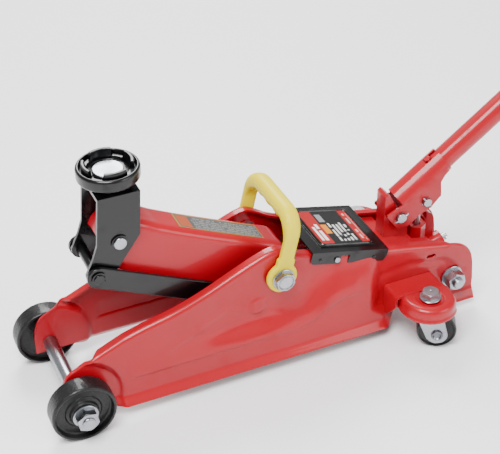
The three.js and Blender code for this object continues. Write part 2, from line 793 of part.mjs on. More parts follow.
function releaseValve() {
  const stub = cut(
    rodX(valveStub, valveLength - 15, valveLength + 7, 0, 0, 16),
    box(valveLength + 3, valveLength + 8, -6, 6, -1.2, 1.2),
  );
  return onValve(stub);
}

add('release_valve', releaseValve(), 'steel');

// ---- Handle socket, its pins, and the two-piece handle ----

// Places a shape drawn along the handle (X) and across it (Z) on the handle's line.
function onSocket(geometry) {
  return geometry.rotateY(-handleSlope).translate(socketPivot.x, 0, socketPivot.z);
}

function handleSocket() {
  const inner = handleRadius + gap;
  const outer = inner + socketWall;
  const cheek = outline([
    [69, 1.8], [63, 1], [55, -2.4], [46.4, -16.9], [29.8, -20], [14.7, -16.2], [1.2, -18], [-10.9, -9.4],
    [-10.5, 11.6], [-8.7, 14.3], [3.8, 12], [socketStart, 10], [socketStart, handleOffset], [69, handleOffset],
  ]);
  return onSocket(cut(
    join(rodX(outer, socketStart, socketMouth, 0, handleOffset, 20), slab(cheek, -outer, outer)),
    rodX(inner, -30, socketMouth + 5, 0, handleOffset, 20),
    box(-30, socketTrough, -inner, inner, -40, handleOffset),
    box(-30, socketStart, -inner, inner, -40, 40),
    box(socketTrough, socketMouth, -inner, inner, -40, handleOffset - outer),
    box(56, 64, -4, 4, handleOffset + 8, 40),
    box(62, 80, 0, 4, handleOffset + 8, 40),
    rodY(pivotPinRadius + gap, -40, 40),
    rodY(pumpPinRadius + gap, -40, 40, pumpPin.along, pumpPin.across),
  ));
}

add('handle_socket', handleSocket(), 'red');
add('socket_pivot_pin', rodY(pivotPinRadius, -pinReach, pinReach, socketPivot.x, socketPivot.z), 'zinc');
add('pump_pin', rodY(pumpPinRadius, -pinReach, pinReach, pumpPinAt.x, pumpPinAt.z), 'zinc');

function handleTube(from, to) {
  const inner = handleRadius - handleWall;
  return cut(
    rodX(handleRadius, from, to, 0, handleOffset, 20),
    rodX(inner, from - 1, to + 1, 0, handleOffset, 20),
  );
}

// The lower half is slotted from its end, so it can slide off the lock screw.
const lockScrew = 60;
const lower = cut(
  handleTube(handleStart, handleJoint),
  rodZ(2.2, handleOffset, 40, lockScrew, 0, 12),
  box(handleStart - 1, lockScrew, -2.2, 2.2, handleOffset, 40),
);
add('handle_lower', onSocket(lower), 'red');

// The upper half of the handle has a narrower spigot that seats in the lower half.
const spigot = 42;
const spigotRadius = handleRadius - handleWall - gap;
const upper = cut(
  join(
    rodX(handleRadius, handleJoint + gap, handleEnd, 0, handleOffset, 20),
    rodX(spigotRadius, handleJoint - spigot, handleJoint + 5, 0, handleOffset, 20),
  ),
  rodX(spigotRadius - handleWall, handleJoint - spigot - 1, handleEnd + 1, 0, handleOffset, 20),
);
add('handle_upper', onSocket(upper), 'red');

const capRadius = spigotRadius - handleWall - gap;
const handleCap = join(
  rodX(handleRadius + 0.6, handleEnd + gap, handleEnd + 4, 0, handleOffset, 20),
  rodX(capRadius, handleEnd - 12, handleEnd + 2, 0, handleOffset, 20),
);
add('handle_cap', onSocket(handleCap), 'black');

const screwSeat = handleOffset + handleRadius + gap;
const lockHead = join(
  rodZ(3.6, screwSeat, screwSeat + 3.2, lockScrew, 0, 6),
  rodZ(1.9, screwSeat - 5, screwSeat + 1, lockScrew, 0, 12),
);
add('handle_lock_screw', onSocket(lockHead), 'red');

// ---- Rear tie studs ----

const tieSeat = rearFace + gap + washerSheet + gap;
for (const { name, sign } of sides) {
  const stud = rodY(tieRadius, 24 + gap, tieSeat + 14.5, tieBolt.x, tieBolt.z);
  add(`tie_stud_${name}`, mirrored(stud, sign), 'zinc');
  const nut = cut(
    join(
      rodY(12.5, tieSeat - washerSheet, tieSeat, tieBolt.x, tieBolt.z),
      rodY(10.6, tieSeat - 1, tieSeat + 11, tieBolt.x, tieBolt.z, 6),
    ),
    rodY(tieRadius + gap, 0, 90, tieBolt.x, tieBolt.z),
  );
  add(`tie_nut_${name}`, mirrored(nut, sign), 'zinc');
}

// ---- Caster wings, forks and wheels ----

// A ring of the wing: round on the outside, and cut off straight along the side plate and at the back.
function wingRing(radius, z, inset = 0) {
  const points = [];
  const count = 20;
  for (let i = 0; i < count; i += 1) {
    const turn = (2 * Math.PI * i) / count;
    const y = wingCentre.y + radius * Math.sin(turn);
    const inboard = Math.max(0, -Math.sin(turn));
    const x = wingCentre.x + radius * Math.cos(turn) * (1 + 0.12 * inboard);
    points.push(new THREE.Vector3(Math.min(x, wingBack - inset), Math.max(y, wingSeat + inset), z));
  }
  return points;
}

const wingSeat = rearFace + gap;

function wingShell(sign) {
  const inset = wingSheet;
  const outer = skin([
    wingRing(wingRadius, wingRim), wingRing(wingRadius - 1, 51), wingRing(wingRadius - 7, wingTop),
  ], fanCap);
  const inner = skin([
    wingRing(wingRadius - inset, wingRim - 5, inset), wingRing(wingRadius - 1 - inset, 49, inset),
    wingRing(wingRadius - 7 - inset, wingTop - inset, inset),
  ], fanCap);
  const shoulder = wingCentre.y - 14;
  const root = box(wingFront, wingBack, wingSeat, shoulder, wingRim - 3, wingTop);
  const frontWall = box(wingFront, wingFront + inset, wingSeat, shoulder - 2, wingFoot, wingTop - 1);
  const under = wingTop - inset;
  const rootHollow = box(wingFront + inset, wingBack - inset, wingSeat + inset, shoulder - inset, 20, under);
  const bolt = rodZ(4 + gap, 0, 90, casterAxis.x, casterAxis.y);
  return mirrored(cut(join(outer, root, frontWall), inner, rootHollow, bolt), sign);
}

const forkTop = wingTop - wingSheet - gap;

function casterFork() {
  const shape = new THREE.Shape();
  shape.moveTo(-11, 49.5);
  shape.lineTo(-12, 40);
  shape.lineTo(casterTrail - 10, casterRadius - 6);
  shape.absarc(casterTrail, casterRadius, 11, Math.PI + 0.6, 2 * Math.PI, false);
  shape.lineTo(casterTrail + 6, 40);
  shape.lineTo(12, 49.5);
  const cheeks = sides.map(({ sign }) => mirrored(slab(shape, forkHalf - forkSheet, forkHalf), sign));
  const crown = box(-11, 12, -forkHalf + 1, forkHalf - 1, 47, 49.5);
  return cut(
    join(crown, rodZ(12, 48, forkTop), ...cheeks),
    rodZ(4 + gap, 0, 90),
    rodY(3.5 + gap, -40, 40, casterTrail, casterRadius, 16),
  );
}

for (const { name, sign } of sides) {
  add(`caster_wing_${name}`, wingShell(sign), 'red');
  const bolt = join(
    rodZ(4, 44, wingTop + 11, 0, 0, 16),
    rodZ(7, 43.6, 46.7, 0, 0, 16),
    rodZ(8.4, wingTop + gap, wingTop + 9, 0, 0, 6),
  );
  add(`swivel_bolt_${name}`, bolt, 'zinc').position.set(casterAxis.x, sign * casterAxis.y, 0);
  const caster = new THREE.Group();
  caster.position.set(casterAxis.x, sign * casterAxis.y, 0);
  caster.rotation.z = casterTurn;
  jack.add(caster);
  add(`caster_fork_${name}`, casterFork(), 'zinc', caster);
  const wheel = turned(wheelProfile(casterRadius, 2 * casterHalf, 3.5 + gap, 3), 20);
  const wheelMesh = add(`caster_wheel_${name}`, wheel.translate(0, -casterHalf, 0), 'iron', caster);
  wheelMesh.position.set(casterTrail, 0, casterRadius);
  const rivet = join(
    rodY(3.5, -forkHalf - 1, forkHalf + 1, 0, 0, 16),
    rodY(5.5, -forkHalf - 2, -forkHalf - gap, 0, 0, 16),
    rodY(5.5, forkHalf + gap, forkHalf + 2, 0, 0, 16),
  );
  add(`caster_axle_${name}`, rivet, 'zinc', caster).position.set(casterTrail, 0, casterRadius);
}

// The frame's origin is the middle of the footprint, on the floor.
jack.updateMatrixWorld(true);
const bounds = new THREE.Box3().setFromObject(jack, true);
const middle = bounds.getCenter(new THREE.Vector3());
jack.position.set(-middle.x, -middle.y, -bounds.min.z);

export default jack;
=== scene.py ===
# %% [markdown]
# # A trolley jack, finished
# The jack arrives as a frame of plain solids that already have the right sizes and already move. This lesson
# dresses that frame: pressed sheet, castings, turned steel and moulded plastic get their real surfaces, and small
# things that the plain solids leave out, such as clips, rivets and labels, are added.

# %% Load the frame
import json
import math

import bmesh
import bpy
import numpy as np
from mathutils import Matrix, Vector


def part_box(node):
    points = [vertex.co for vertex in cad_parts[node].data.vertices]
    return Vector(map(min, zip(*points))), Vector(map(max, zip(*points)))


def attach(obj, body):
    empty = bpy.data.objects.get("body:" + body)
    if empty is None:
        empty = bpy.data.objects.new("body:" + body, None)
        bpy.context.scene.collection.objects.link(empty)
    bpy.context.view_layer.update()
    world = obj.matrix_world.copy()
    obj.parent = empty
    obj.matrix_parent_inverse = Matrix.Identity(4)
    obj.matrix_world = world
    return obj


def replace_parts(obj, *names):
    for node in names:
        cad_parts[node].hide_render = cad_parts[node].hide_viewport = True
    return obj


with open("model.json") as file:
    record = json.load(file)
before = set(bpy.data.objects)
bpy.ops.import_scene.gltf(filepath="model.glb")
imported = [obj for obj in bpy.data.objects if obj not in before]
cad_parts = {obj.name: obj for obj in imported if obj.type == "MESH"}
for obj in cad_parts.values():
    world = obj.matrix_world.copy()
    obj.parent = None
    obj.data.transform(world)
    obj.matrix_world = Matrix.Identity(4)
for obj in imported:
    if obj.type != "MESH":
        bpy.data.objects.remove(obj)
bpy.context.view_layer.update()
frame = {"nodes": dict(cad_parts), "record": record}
nodes = frame["nodes"]

# %% [markdown]
# ## One place to measure from
# Every length below is in millimetres from the front axle: x runs back along the jack, y to the right and z up from
# the floor. The axle's own box says where that point lies in the frame, so nothing is placed by eye.

# %% Jack coordinates
mm = 0.001
axle_low, axle_high = (np.array(corner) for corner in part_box("front_axle"))
axle_x = (axle_low[0] + axle_high[0]) / 2


def place(points):
    """Jack millimetres to metres in the frame: scale by 0.001, then move x by the axle's own x."""
    return np.asarray(points, dtype=float) * mm + np.array([axle_x, 0.0, 0.0])


def middle(node):
    """The centre of a frame node's box, in jack millimetres."""
    low, high = (np.array(corner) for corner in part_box(node))
    return ((low + high) / 2 - np.array([axle_x, 0.0, 0.0])) / mm


def extent(node):
    """The lowest and highest corners of a frame node's box, in jack millimetres."""
    return [(np.array(corner) - np.array([axle_x, 0.0, 0.0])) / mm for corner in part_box(node)]


def tilted(origin_x, origin_z, slope):
    """Gives a function that takes (along a slope, y, height above it) to jack millimetres."""
    def turned(points):
        along, y, above = np.moveaxis(np.asarray(points, dtype=float), -1, 0)
        return np.stack([origin_x + along * math.cos(slope) - above * math.sin(slope), y,
                         origin_z + along * math.sin(slope) + above * math.cos(slope)], axis=-1)
    return turned


body_of = {node: body for body, members in frame["record"]["behaviour"]["bodies"].items() for node in members}
print("axle at x =", round(axle_x, 4), "wheel hub", middle("front_wheel_left").round(1))

# %% [markdown]
# ## Camera
# The view is from the front left, a little more than a third of a right angle above the floor, through a long
# lens. The camera comes first so that each later piece can be looked at as soon as it is made.

# %% Camera
view_turn = math.radians(-23.82)
view_lift = math.radians(35.5)
view_roll = math.radians(-0.46)
camera_data = bpy.data.cameras.new("camera")
camera_data.lens = 88.77
camera_data.sensor_width = 36.0
camera_data.clip_end = 20.0
camera = bpy.data.objects.new("camera", camera_data)
bpy.context.collection.objects.link(camera)
back = Vector((math.sin(view_turn) * math.cos(view_lift), -math.cos(view_turn) * math.cos(view_lift),
               math.sin(view_lift)))
right = Vector((math.cos(view_turn), math.sin(view_turn), 0.0))
up = back.cross(right)
rolled_right = right * math.cos(view_roll) + up * math.sin(view_roll)
rolled_up = up * math.cos(view_roll) - right * math.sin(view_roll)
camera.matrix_world = Matrix.Translation(place((-196.7, -902.3, 846.5))) @ Matrix(
    (rolled_right, rolled_up, back)).transposed().to_4x4()
bpy.context.scene.camera = camera
print("camera", [round(v, 3) for v in camera.location])

# %% [markdown]
# ## Shader arithmetic
# A finish is a sum of patterns. Wiring Math nodes by hand hides that sum, so a socket is wrapped in a small class
# whose operators add the nodes: `1 - mask * 0.3` then reads as it would on paper. Colours are blended by a Mix
# node instead, because a Math node would turn them grey.

# %% Sockets that do arithmetic
class Wire:
    """One output socket. An expression on wires and numbers adds a Math node and gives its output."""

    def __init__(self, shader, socket):
        self.shader, self.socket = shader, socket

    def math(self, operation, *values):
        """One Math node, fed with wires or numbers in order."""
        return self.shader.node("Math", {"operation": operation}, **{str(i): v for i, v in enumerate(values)})

    def __add__(self, other):
        return self.math("ADD", self, other)

    def __sub__(self, other):
        return self.math("SUBTRACT", self, other)

    def __rsub__(self, other):
        return self.math("SUBTRACT", other, self)

    def __mul__(self, other):
        return self.math("MULTIPLY", self, other)

    __radd__ = __add__
    __rmul__ = __mul__

    def above(self, edge, softness):
        """0 below the edge, 1 above it, with a ramp as wide as the softness."""
        ends = {"From Min": edge - softness / 2, "From Max": edge + softness / 2}
        return self.shader.node("MapRange", {"interpolation_type": "SMOOTHSTEP"}, Value=self, **ends)


class Finish:
    """A material with a Principled shader. node() adds any node: settings first, then values or wires."""

    def __init__(self, name, **constants):
        self.material = bpy.data.materials.new(name)
        self.material.use_nodes = True
        self.tree = self.material.node_tree
        self.shader = self.tree.nodes["Principled BSDF"]
        self.coordinates = self.tree.nodes.new("ShaderNodeTexCoord").outputs["Object"]
        for socket, value in constants.items():
            self.shader.inputs[socket.replace("_", " ")].default_value = value

    def node(self, kind, settings=None, **inputs):
        """A node of a kind. An input is named by its socket, or by its number where sockets share a name."""
        made = self.tree.nodes.new("ShaderNode" + kind)
        for setting, value in (settings or {}).items():
            setattr(made, setting, value)
        for name, value in inputs.items():
            socket = made.inputs[int(name)] if name.isdigit() else made.inputs[name]
            self.feed(socket, value)
        return Wire(self, made.outputs[0])

    def feed(self, socket, value):
        """Links a wire or a plain output to a socket, or sets the socket to a value."""
        if isinstance(value, Wire):
            self.tree.links.new(value.socket, socket)
        elif hasattr(value, "is_output"):
            self.tree.links.new(value, socket)
        else:
            socket.default_value = value

    def drive(self, socket, value):
        """Feeds one of the Principled shader's own inputs, by name."""
        self.feed(self.shader.inputs[socket], value)

    def noise(self, scale, detail=3.0, roughness=0.5, stretch=(1.0, 1.0, 1.0)):
        """Cloudy values from 0 to 1 that follow object space, stretched along any axis."""
        moved = self.node("Mapping", Vector=self.coordinates, Scale=stretch)
        return self.node("TexNoise", Vector=moved, Scale=scale, Detail=detail, Roughness=roughness)

    def blend(self, amount, first, second):
        """A colour between two colours."""
        made = self.tree.nodes.new("ShaderNodeMix")
        made.data_type = "RGBA"
        self.feed(made.inputs["Factor"], amount)
        self.feed(made.inputs[6], first)
        self.feed(made.inputs[7], second)
        return Wire(self, made.outputs[2])

    def bump(self, height, strength, distance):
        """Raises the surface's normal by a height pattern; the distance is in metres."""
        self.drive("Normal", self.node("Bump", Height=height, Strength=strength, Distance=distance))


# %% [markdown]
# ## Gloss paint
# The pressings are dipped and stoved, so the colour is even but the film is not: it has a faint orange peel, the
# gloss changes from place to place, and it is thin and scuffed in fine specks. A clear coat over the pigment gives
# the hard bright reflections of enamel.

# %% Paint
def rgb(red, green, blue):
    """A colour given as it looks on a screen, 0 to 255, turned into the linear light that a shader needs."""
    screen = np.array([red, green, blue]) / 255.0
    linear = np.where(screen <= 0.04045, screen / 12.92, ((screen + 0.055) / 1.055) ** 2.4)
    return (*map(float, linear), 1.0)


def enamel(name, colour, deep, gloss, coat):
    """Stoved paint: clouds and grime darken the colour, grime and specks dull it, and both raise the orange peel."""
    peel = 0.05
    paint = Finish(name, Coat_Roughness=0.06, IOR=1.45, Specular_IOR_Level=0.3)
    cloud = paint.noise(9.0, 3.0)
    grime = paint.noise(38.0, 6.0, 0.65).above(0.62, 0.16)
    specks = paint.noise(900.0, 2.0).above(0.74, 0.05)
    paint.drive("Base Color", paint.blend(cloud.above(0.5, 0.5) * 0.5 + grime * 0.18, colour, deep))
    paint.drive("Roughness", gloss + cloud * 0.08 + grime * 0.14 + specks * 0.2)
    paint.drive("Coat Weight", coat - grime * 0.25)
    paint.bump(paint.noise(260.0, 2.0, 0.4) + specks * 0.4, peel, 0.0006)
    return paint.material


red_paint = enamel("red_enamel", rgb(160, 0, 22), rgb(146, 0, 16), gloss=0.3, coat=0.3)
black_paint = enamel("black_enamel", rgb(5, 5, 6), rgb(3, 3, 4), gloss=0.24, coat=0.35)
print("enamels", red_paint.name, black_paint.name)

# %% [markdown]
# ## Metal
# Zinc plating is pale, slightly blue and softly mottled. Turned and drawn steel is darker and carries fine rings
# or lines from the tool, which only show as changes of roughness and a very small bump.

# %% Plated and turned steel
def metal(name, light, dark, rough, grain=(1.0, 1.0, 1.0)):
    """Bare or plated steel: mottle and stain mix two greys, and fine lines run where the grain is stretched."""
    steel = Finish(name, Metallic=1.0)
    mottle = steel.noise(60.0, 4.0, 0.6)
    lines = steel.noise(700.0, 2.0, 0.5, grain)
    stain = steel.noise(24.0, 5.0, 0.6).above(0.6, 0.2)
    steel.drive("Base Color", steel.blend(mottle * 0.6 + stain * 0.3, light, dark))
    steel.drive("Roughness", rough + mottle * 0.12 + lines * 0.1 + stain * 0.08)
    steel.bump(lines, 0.08, 0.0003)
    return steel.material


zinc = metal("zinc_plate", rgb(176, 178, 182), rgb(122, 126, 134), 0.18)
turned_steel = metal("turned_steel", rgb(196, 197, 200), rgb(132, 133, 138), 0.24, (1.0, 9.0, 1.0))
axle_steel = metal("axle_steel", rgb(128, 130, 136), rgb(74, 76, 82), 0.2)
drawn_steel = metal("drawn_steel", rgb(208, 208, 212), rgb(150, 150, 156), 0.22, (1.0, 0.08, 1.0))

# %% [markdown]
# ## Castings, mouldings and dark plastic
# The front wheels are painted castings: the sand leaves a coarse pebbled skin under the paint, and the tread is
# scuffed by floors. The carry handle is a bright moulding with a faint sparkle of texture, and the caster wheels
# are moulded smooth.

# %% Cast and moulded surfaces
def pebbled(name, colour, worn, scale, depth, rough, coat=0.0):
    """A grained skin: coarse and deep for a casting, fine and shallow for a moulding, with duller worn patches."""
    skin = Finish(name, Coat_Roughness=0.12, Specular_IOR_Level=0.25)
    grain = skin.noise(scale, 3.0, 0.55)
    patches = skin.noise(30.0, 5.0, 0.6).above(0.58, 0.24)
    skin.drive("Base Color", skin.blend(patches * 0.55 + grain.above(0.66, 0.12) * 0.25, colour, worn))
    skin.drive("Roughness", rough + patches * 0.16 + grain * 0.1)
    skin.drive("Coat Weight", coat - patches * coat * 0.5)
    skin.bump(grain, 0.55, depth)
    return skin.material


wheel_casting = pebbled("wheel_casting", rgb(14, 14, 15), rgb(30, 30, 30), 420.0, 0.0012, 0.36, 0.25)
caster_moulding = pebbled("caster_moulding", rgb(10, 10, 11), rgb(20, 20, 21), 240.0, 0.0002, 0.26, 0.3)
yellow_moulding = pebbled("yellow_moulding", rgb(214, 196, 0), rgb(204, 182, 0), 600.0, 0.00015, 0.4, 0.05)
cap_rubber = pebbled("cap_rubber", rgb(28, 28, 29), rgb(46, 46, 47), 500.0, 0.0004, 0.6)

# %% [markdown]
# ## From arrays to meshes
# Most pieces are a grid of points: one parameter runs round a section, the other along the piece. The grid's faces
# are always the same, so one function turns any grid into a closed mesh.

# %% Grid to mesh
def mesh_piece(name, points, faces, material, body, smooth=35.0):
    """A mesh object from an array of points in jack millimetres and an array of faces, riding on a body."""
    mesh = bpy.data.meshes.new(name)
    mesh.from_pydata(place(points).tolist(), [], [list(face) for face in faces])
    mesh.validate()
    tidy = bmesh.new()
    tidy.from_mesh(mesh)
    bmesh.ops.remove_doubles(tidy, verts=tidy.verts, dist=1e-6)
    bmesh.ops.dissolve_degenerate(tidy, edges=tidy.edges, dist=1e-7)
    bmesh.ops.recalc_face_normals(tidy, faces=tidy.faces)
    if tidy.calc_volume(signed=True) < 0:
        bmesh.ops.reverse_faces(tidy, faces=tidy.faces)
    tidy.to_mesh(mesh)
    tidy.free()
    piece = bpy.data.objects.new(name, mesh)
    bpy.context.collection.objects.link(piece)
    return dress(piece, material, body, smooth)


def dress(piece, material, body, smooth=35.0):
    """Gives a piece its finish, smooth shading up to an angle, and the body it moves with."""
    piece.data.materials.clear()
    piece.data.materials.append(material)
    piece.data.shade_smooth()
    piece.data.set_sharp_from_angle(angle=math.radians(smooth))
    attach(piece, body)
    return piece


def grid_faces(rows, columns, closed_rows, closed_columns, start=0):
    """Four-cornered faces between neighbours of a grid, whose last row or column may join the first."""
    row = np.arange(rows if closed_rows else rows - 1)
    column = np.arange(columns if closed_columns else columns - 1)
    i, j = np.meshgrid(row, column, indexing="ij")
    i2, j2 = (i + 1) % rows, (j + 1) % columns
    quads = np.stack([i * columns + j, i2 * columns + j, i2 * columns + j2, i * columns + j2], axis=-1)
    return start + quads.reshape(-1, 4)


def loft(grid):
    """Points and faces of a tube through closed sections, with the first and last section capped."""
    rows, columns = grid.shape[:2]
    faces = [tuple(face) for face in grid_faces(rows, columns, False, True)]
    faces.append(tuple(range(columns)))
    faces.append(tuple(range((rows - 1) * columns, rows * columns)))
    return grid.reshape(-1, 3), faces


def lathe(profile, turns=96, axis="y"):
    """A closed profile of (radius, height) turned about y or z: across = r cos t, over = r sin t, along = height."""
    radius, height = np.array(profile, dtype=float).T
    angle = np.linspace(0, 2 * np.pi, turns, endpoint=False)[:, None]
    across = radius * np.cos(angle)
    over = radius * np.sin(angle)
    along = np.broadcast_to(height, across.shape)
    return np.stack((across, along, over) if axis == "y" else (across, over, along), axis=-1)


def ring_piece(name, grid, centre, material, body, smooth=35.0):
    """A lathe grid, moved to its centre: it joins itself both ways, so it needs no caps."""
    rows, columns = grid.shape[:2]
    faces = grid_faces(rows, columns, True, True)
    return mesh_piece(name, grid.reshape(-1, 3) + np.asarray(centre), faces, material, body, smooth)


def rounded(corners, radius, steps=5):
    """A closed outline with each corner cut by a short curve: a quadratic from one side, by the corner."""
    corners = np.array(corners, dtype=float)
    before = np.roll(corners, 1, axis=0) - corners
    after = np.roll(corners, -1, axis=0) - corners
    reach_before = np.minimum(radius, 0.45 * np.linalg.norm(before, axis=1))[:, None]
    reach_after = np.minimum(radius, 0.45 * np.linalg.norm(after, axis=1))[:, None]
    start = corners + before / np.linalg.norm(before, axis=1)[:, None] * reach_before
    end = corners + after / np.linalg.norm(after, axis=1)[:, None] * reach_after
    t = np.linspace(0, 1, steps)[None, :, None]
    curve = (1 - t) ** 2 * start[:, None] + 2 * t * (1 - t) * corners[:, None] + t ** 2 * end[:, None]
    return curve.reshape(-1, corners.shape[1])


def ease(low, high, value):
    """0 below low, 1 above high, and 3t^2 - 2t^3 between."""
    t = np.clip((value - low) / (high - low), 0, 1)
    return t * t * (3 - 2 * t)


def bezier(points, steps=12):
    """Points on a curve through the first and last of three or four control points."""
    t = np.linspace(0, 1, steps)[:, None]
    control = np.array(points, dtype=float)
    while len(control) > 1:
        control = [(1 - t) * a + t * b for a, b in zip(control[:-1], control[1:])]
    return control[0]


# %% [markdown]
# ## Softened copies
# A pressed or machined part never has a knife edge, and it is the thin bright line along each rounded edge that
# makes metal look real. Where a plain solid already has the right shape, a copy of it is cleaned, its flat faces
# are merged and every sharp edge is bevelled.

# %% Bevelled copy of a frame node
def softened(node, material, width):
    """Copies a node, merges its loose triangles into flat faces and bevels the edges that turn by over 32 degrees."""
    mesh = nodes[node].data.copy()
    tidy = bmesh.new()
    tidy.from_mesh(mesh)
    bmesh.ops.remove_doubles(tidy, verts=tidy.verts, dist=1e-6)
    bmesh.ops.dissolve_limit(tidy, angle_limit=math.radians(1.0), verts=tidy.verts, edges=tidy.edges)
    tidy.to_mesh(mesh)
    tidy.free()
    piece = bpy.data.objects.new(node + "_finished", mesh)
    bpy.context.collection.objects.link(piece)
    bevel = piece.modifiers.new("edges", "BEVEL")
    bevel.width = width * mm
    bevel.segments = 3
    bevel.limit_method = "ANGLE"
    bevel.angle_limit = math.radians(32.0)
    dress(piece, material, body_of[node], smooth=40.0)
    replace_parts(piece, node)


soft_edges = {
    "saddle_bracket": (black_paint, 1.6), "link_bar_left": (black_paint, 0.7), "link_bar_right": (black_paint, 0.7),
    "top_cover": (black_paint, 1.0), "hydraulic_base": (red_paint, 1.4), "handle_socket": (red_paint, 0.7),
    "pump_body": (red_paint, 0.8), "caster_fork_left": (zinc, 0.7), "caster_fork_right": (zinc, 0.7),
    "plunger": (turned_steel, 0.5), "release_valve": (turned_steel, 0.5), "handle_lock_screw": (red_paint, 0.4),
    "filler_plug": (zinc, 0.5), "ram": (turned_steel, 0.8), "cylinder": (drawn_steel, 0.8),
    "front_axle": (zinc, 0.8), "front_spacer_tube": (zinc, 0.5), "arm_shaft": (zinc, 0.8),
    "arm_front_pin": (zinc, 0.6), "link_rod": (black_paint, 0.6), "socket_pivot_pin": (zinc, 0.6),
    "pump_pin": (zinc, 0.6), "roller_pin": (turned_steel, 0.5), "push_roller": (turned_steel, 0.6),
    "saddle_bolt": (zinc, 0.8), "saddle_nut": (zinc, 0.6), "handle_cap": (cap_rubber, 0.8),
    "shaft_spacer_left": (turned_steel, 0.4), "shaft_spacer_right": (turned_steel, 0.4),
    "link_stud_left": (turned_steel, 0.5), "link_stud_right": (turned_steel, 0.5),
    "cover_screw_left": (zinc, 0.4), "cover_screw_right": (zinc, 0.4),
    "tie_stud_left": (zinc, 0.7), "tie_stud_right": (zinc, 0.7),
}
for node, (material, width) in soft_edges.items():
    softened(node, material, width)
print("softened", len(soft_edges))

# %% [markdown]
# ## Two-sided sheet
# Pressed parts are one thin skin bent many ways. An outer grid of points and the same grid moved in by the sheet's
# thickness make that skin directly, and a strip of faces round the border closes it.

# %% Sheet between two grids
def sheet_faces(rows, columns, around=False):
    """Faces of an outer and an inner grid and of the border that joins them."""
    count = rows * columns
    index = np.arange(count).reshape(rows, columns)
    skins = [grid_faces(rows, columns, False, around, start) for start in (0, count)]
    if around:
        borders = [np.append(index[0], index[0, 0]), np.append(index[-1], index[-1, 0])]
    else:
        borders = [np.concatenate([index[0], index[1:, -1], index[-1, -2::-1], index[-2::-1, 0]])]
    strips = [np.stack([b[:-1], b[1:], b[1:] + count, b[:-1] + count], axis=-1) for b in borders]
    return np.concatenate(skins + strips)


def sheet_piece(name, outer, inner, material, body, around=False, smooth=35.0):
    """A closed skin between two equal grids of points."""
    rows, columns = outer.shape[:2]
    points = np.concatenate([outer.reshape(-1, 3), inner.reshape(-1, 3)])
    return mesh_piece(name, points, sheet_faces(rows, columns, around), material, body, smooth)


def both_sides(build, node):
    """Calls build(name, side, node) for the left and the right-hand copy of a node."""
    for label, side in (("left", -1), ("right", 1)):
        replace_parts(build(f"{node}_{label}_finished", side, f"{node}_{label}"), f"{node}_{label}")


def carved(piece, cutter):
    """Takes a cutter away from a piece for good, then removes the cutter."""
    knife = piece.modifiers.new("carve", "BOOLEAN")
    knife.operation = "DIFFERENCE"
    knife.object = cutter
    graph = bpy.context.evaluated_depsgraph_get()
    mesh = bpy.data.meshes.new_from_object(piece.evaluated_get(graph))
    piece.modifiers.remove(knife)
    piece.data = mesh
    bpy.data.objects.remove(cutter)
    return piece


# %% [markdown]
# ## Side plates
# Each plate is one sheet of steel, a little under 3 mm thick, pressed cold. The press turns its top edge inwards
# as a rounded flange, flares the bottom edge out as a skid, pulls the panel in towards the middle behind the
# wheel, and leaves a stepped crease low down that climbs in an S before the caster. Cross-sections at stations
# along the jack hold all of that, so the plate is a grid of stations by points of the section.

# %% Side plates
plate_sheet = 2.7
skid_bend = 22.5
skid_reach = 8.0
edge_x, edge_z = np.concatenate([
    [(-15.8, 30)], bezier([(-15, 40), (-13, 64), (0, 67.5)]), [(16, 77)],
    bezier([(50, 92), (80, 102), (120, 107), (150, 118)]), bezier([(150, 118), (180, 128), (198, 140), (212, 139.5)]),
    bezier([(212, 139.5), (218, 139), (235, 127)]), [(250, 121.4), (336, 100.6), (378, 92)],
    bezier([(414, 84), (440, 79), (442, 54)]), [(444, 34)]]).T


def ridge(x, z, corners, width):
    """1 on a broken line, falling smoothly to 0 at a distance of width from it."""
    nearest = np.full(np.broadcast(x, z).shape, 1e3)
    for (ax, az), (bx, bz) in zip(corners[:-1], corners[1:]):
        share = ((x - ax) * (bx - ax) + (z - az) * (bz - az)) / ((bx - ax) ** 2 + (bz - az) ** 2)
        share = np.clip(share, 0, 1)
        nearest = np.minimum(nearest, np.hypot(x - ax - share * (bx - ax), z - az - share * (bz - az)))
    return 1 - ease(0, width, nearest)


def plate_face(x, z):
    """Distance of the plate's outer face from the middle plane: wheel arch, low panel, taper, then the pressings."""
    arch = ease(40, 47, np.hypot(x, z - 32))
    front = 48 + 4 * arch
    high = front + (43.5 - front) * ease(88, 180, x)
    high = high + (41 - high) * ease(230, 250, x)
    hold = 16 * (1 - ease(24, 40, z))
    low = front + (41 - front) * ease(312 + hold, 332 + hold, x)
    crease = 42.5 + 23 * ease(232, 284, x)
    face = low + (high - low) * ease(crease + 1, crease + 24 + 22 * ease(190, 250, x), z)
    step = ease(crease - 1.2, crease + 0.6, z) * (1 - ease(crease + 4, crease + 24, z))
    step = step * ease(50, 58, x) * (1 - ease(292, 304, x))
    emboss = 1 - ease(8.0, 9.6, np.hypot(x - 190, z - 80))
    bead = ridge(x, z, [(96, 65), (156, 87.5), (171, 79), (214, 64.5)], 5)
    rear = ridge(x, z, [(330, 70), (362, 74), (404, 66), (430, 48)], 7)
    return face + 1.3 * step + 1.6 * emboss + 0.5 * bead - 0.9 * rear


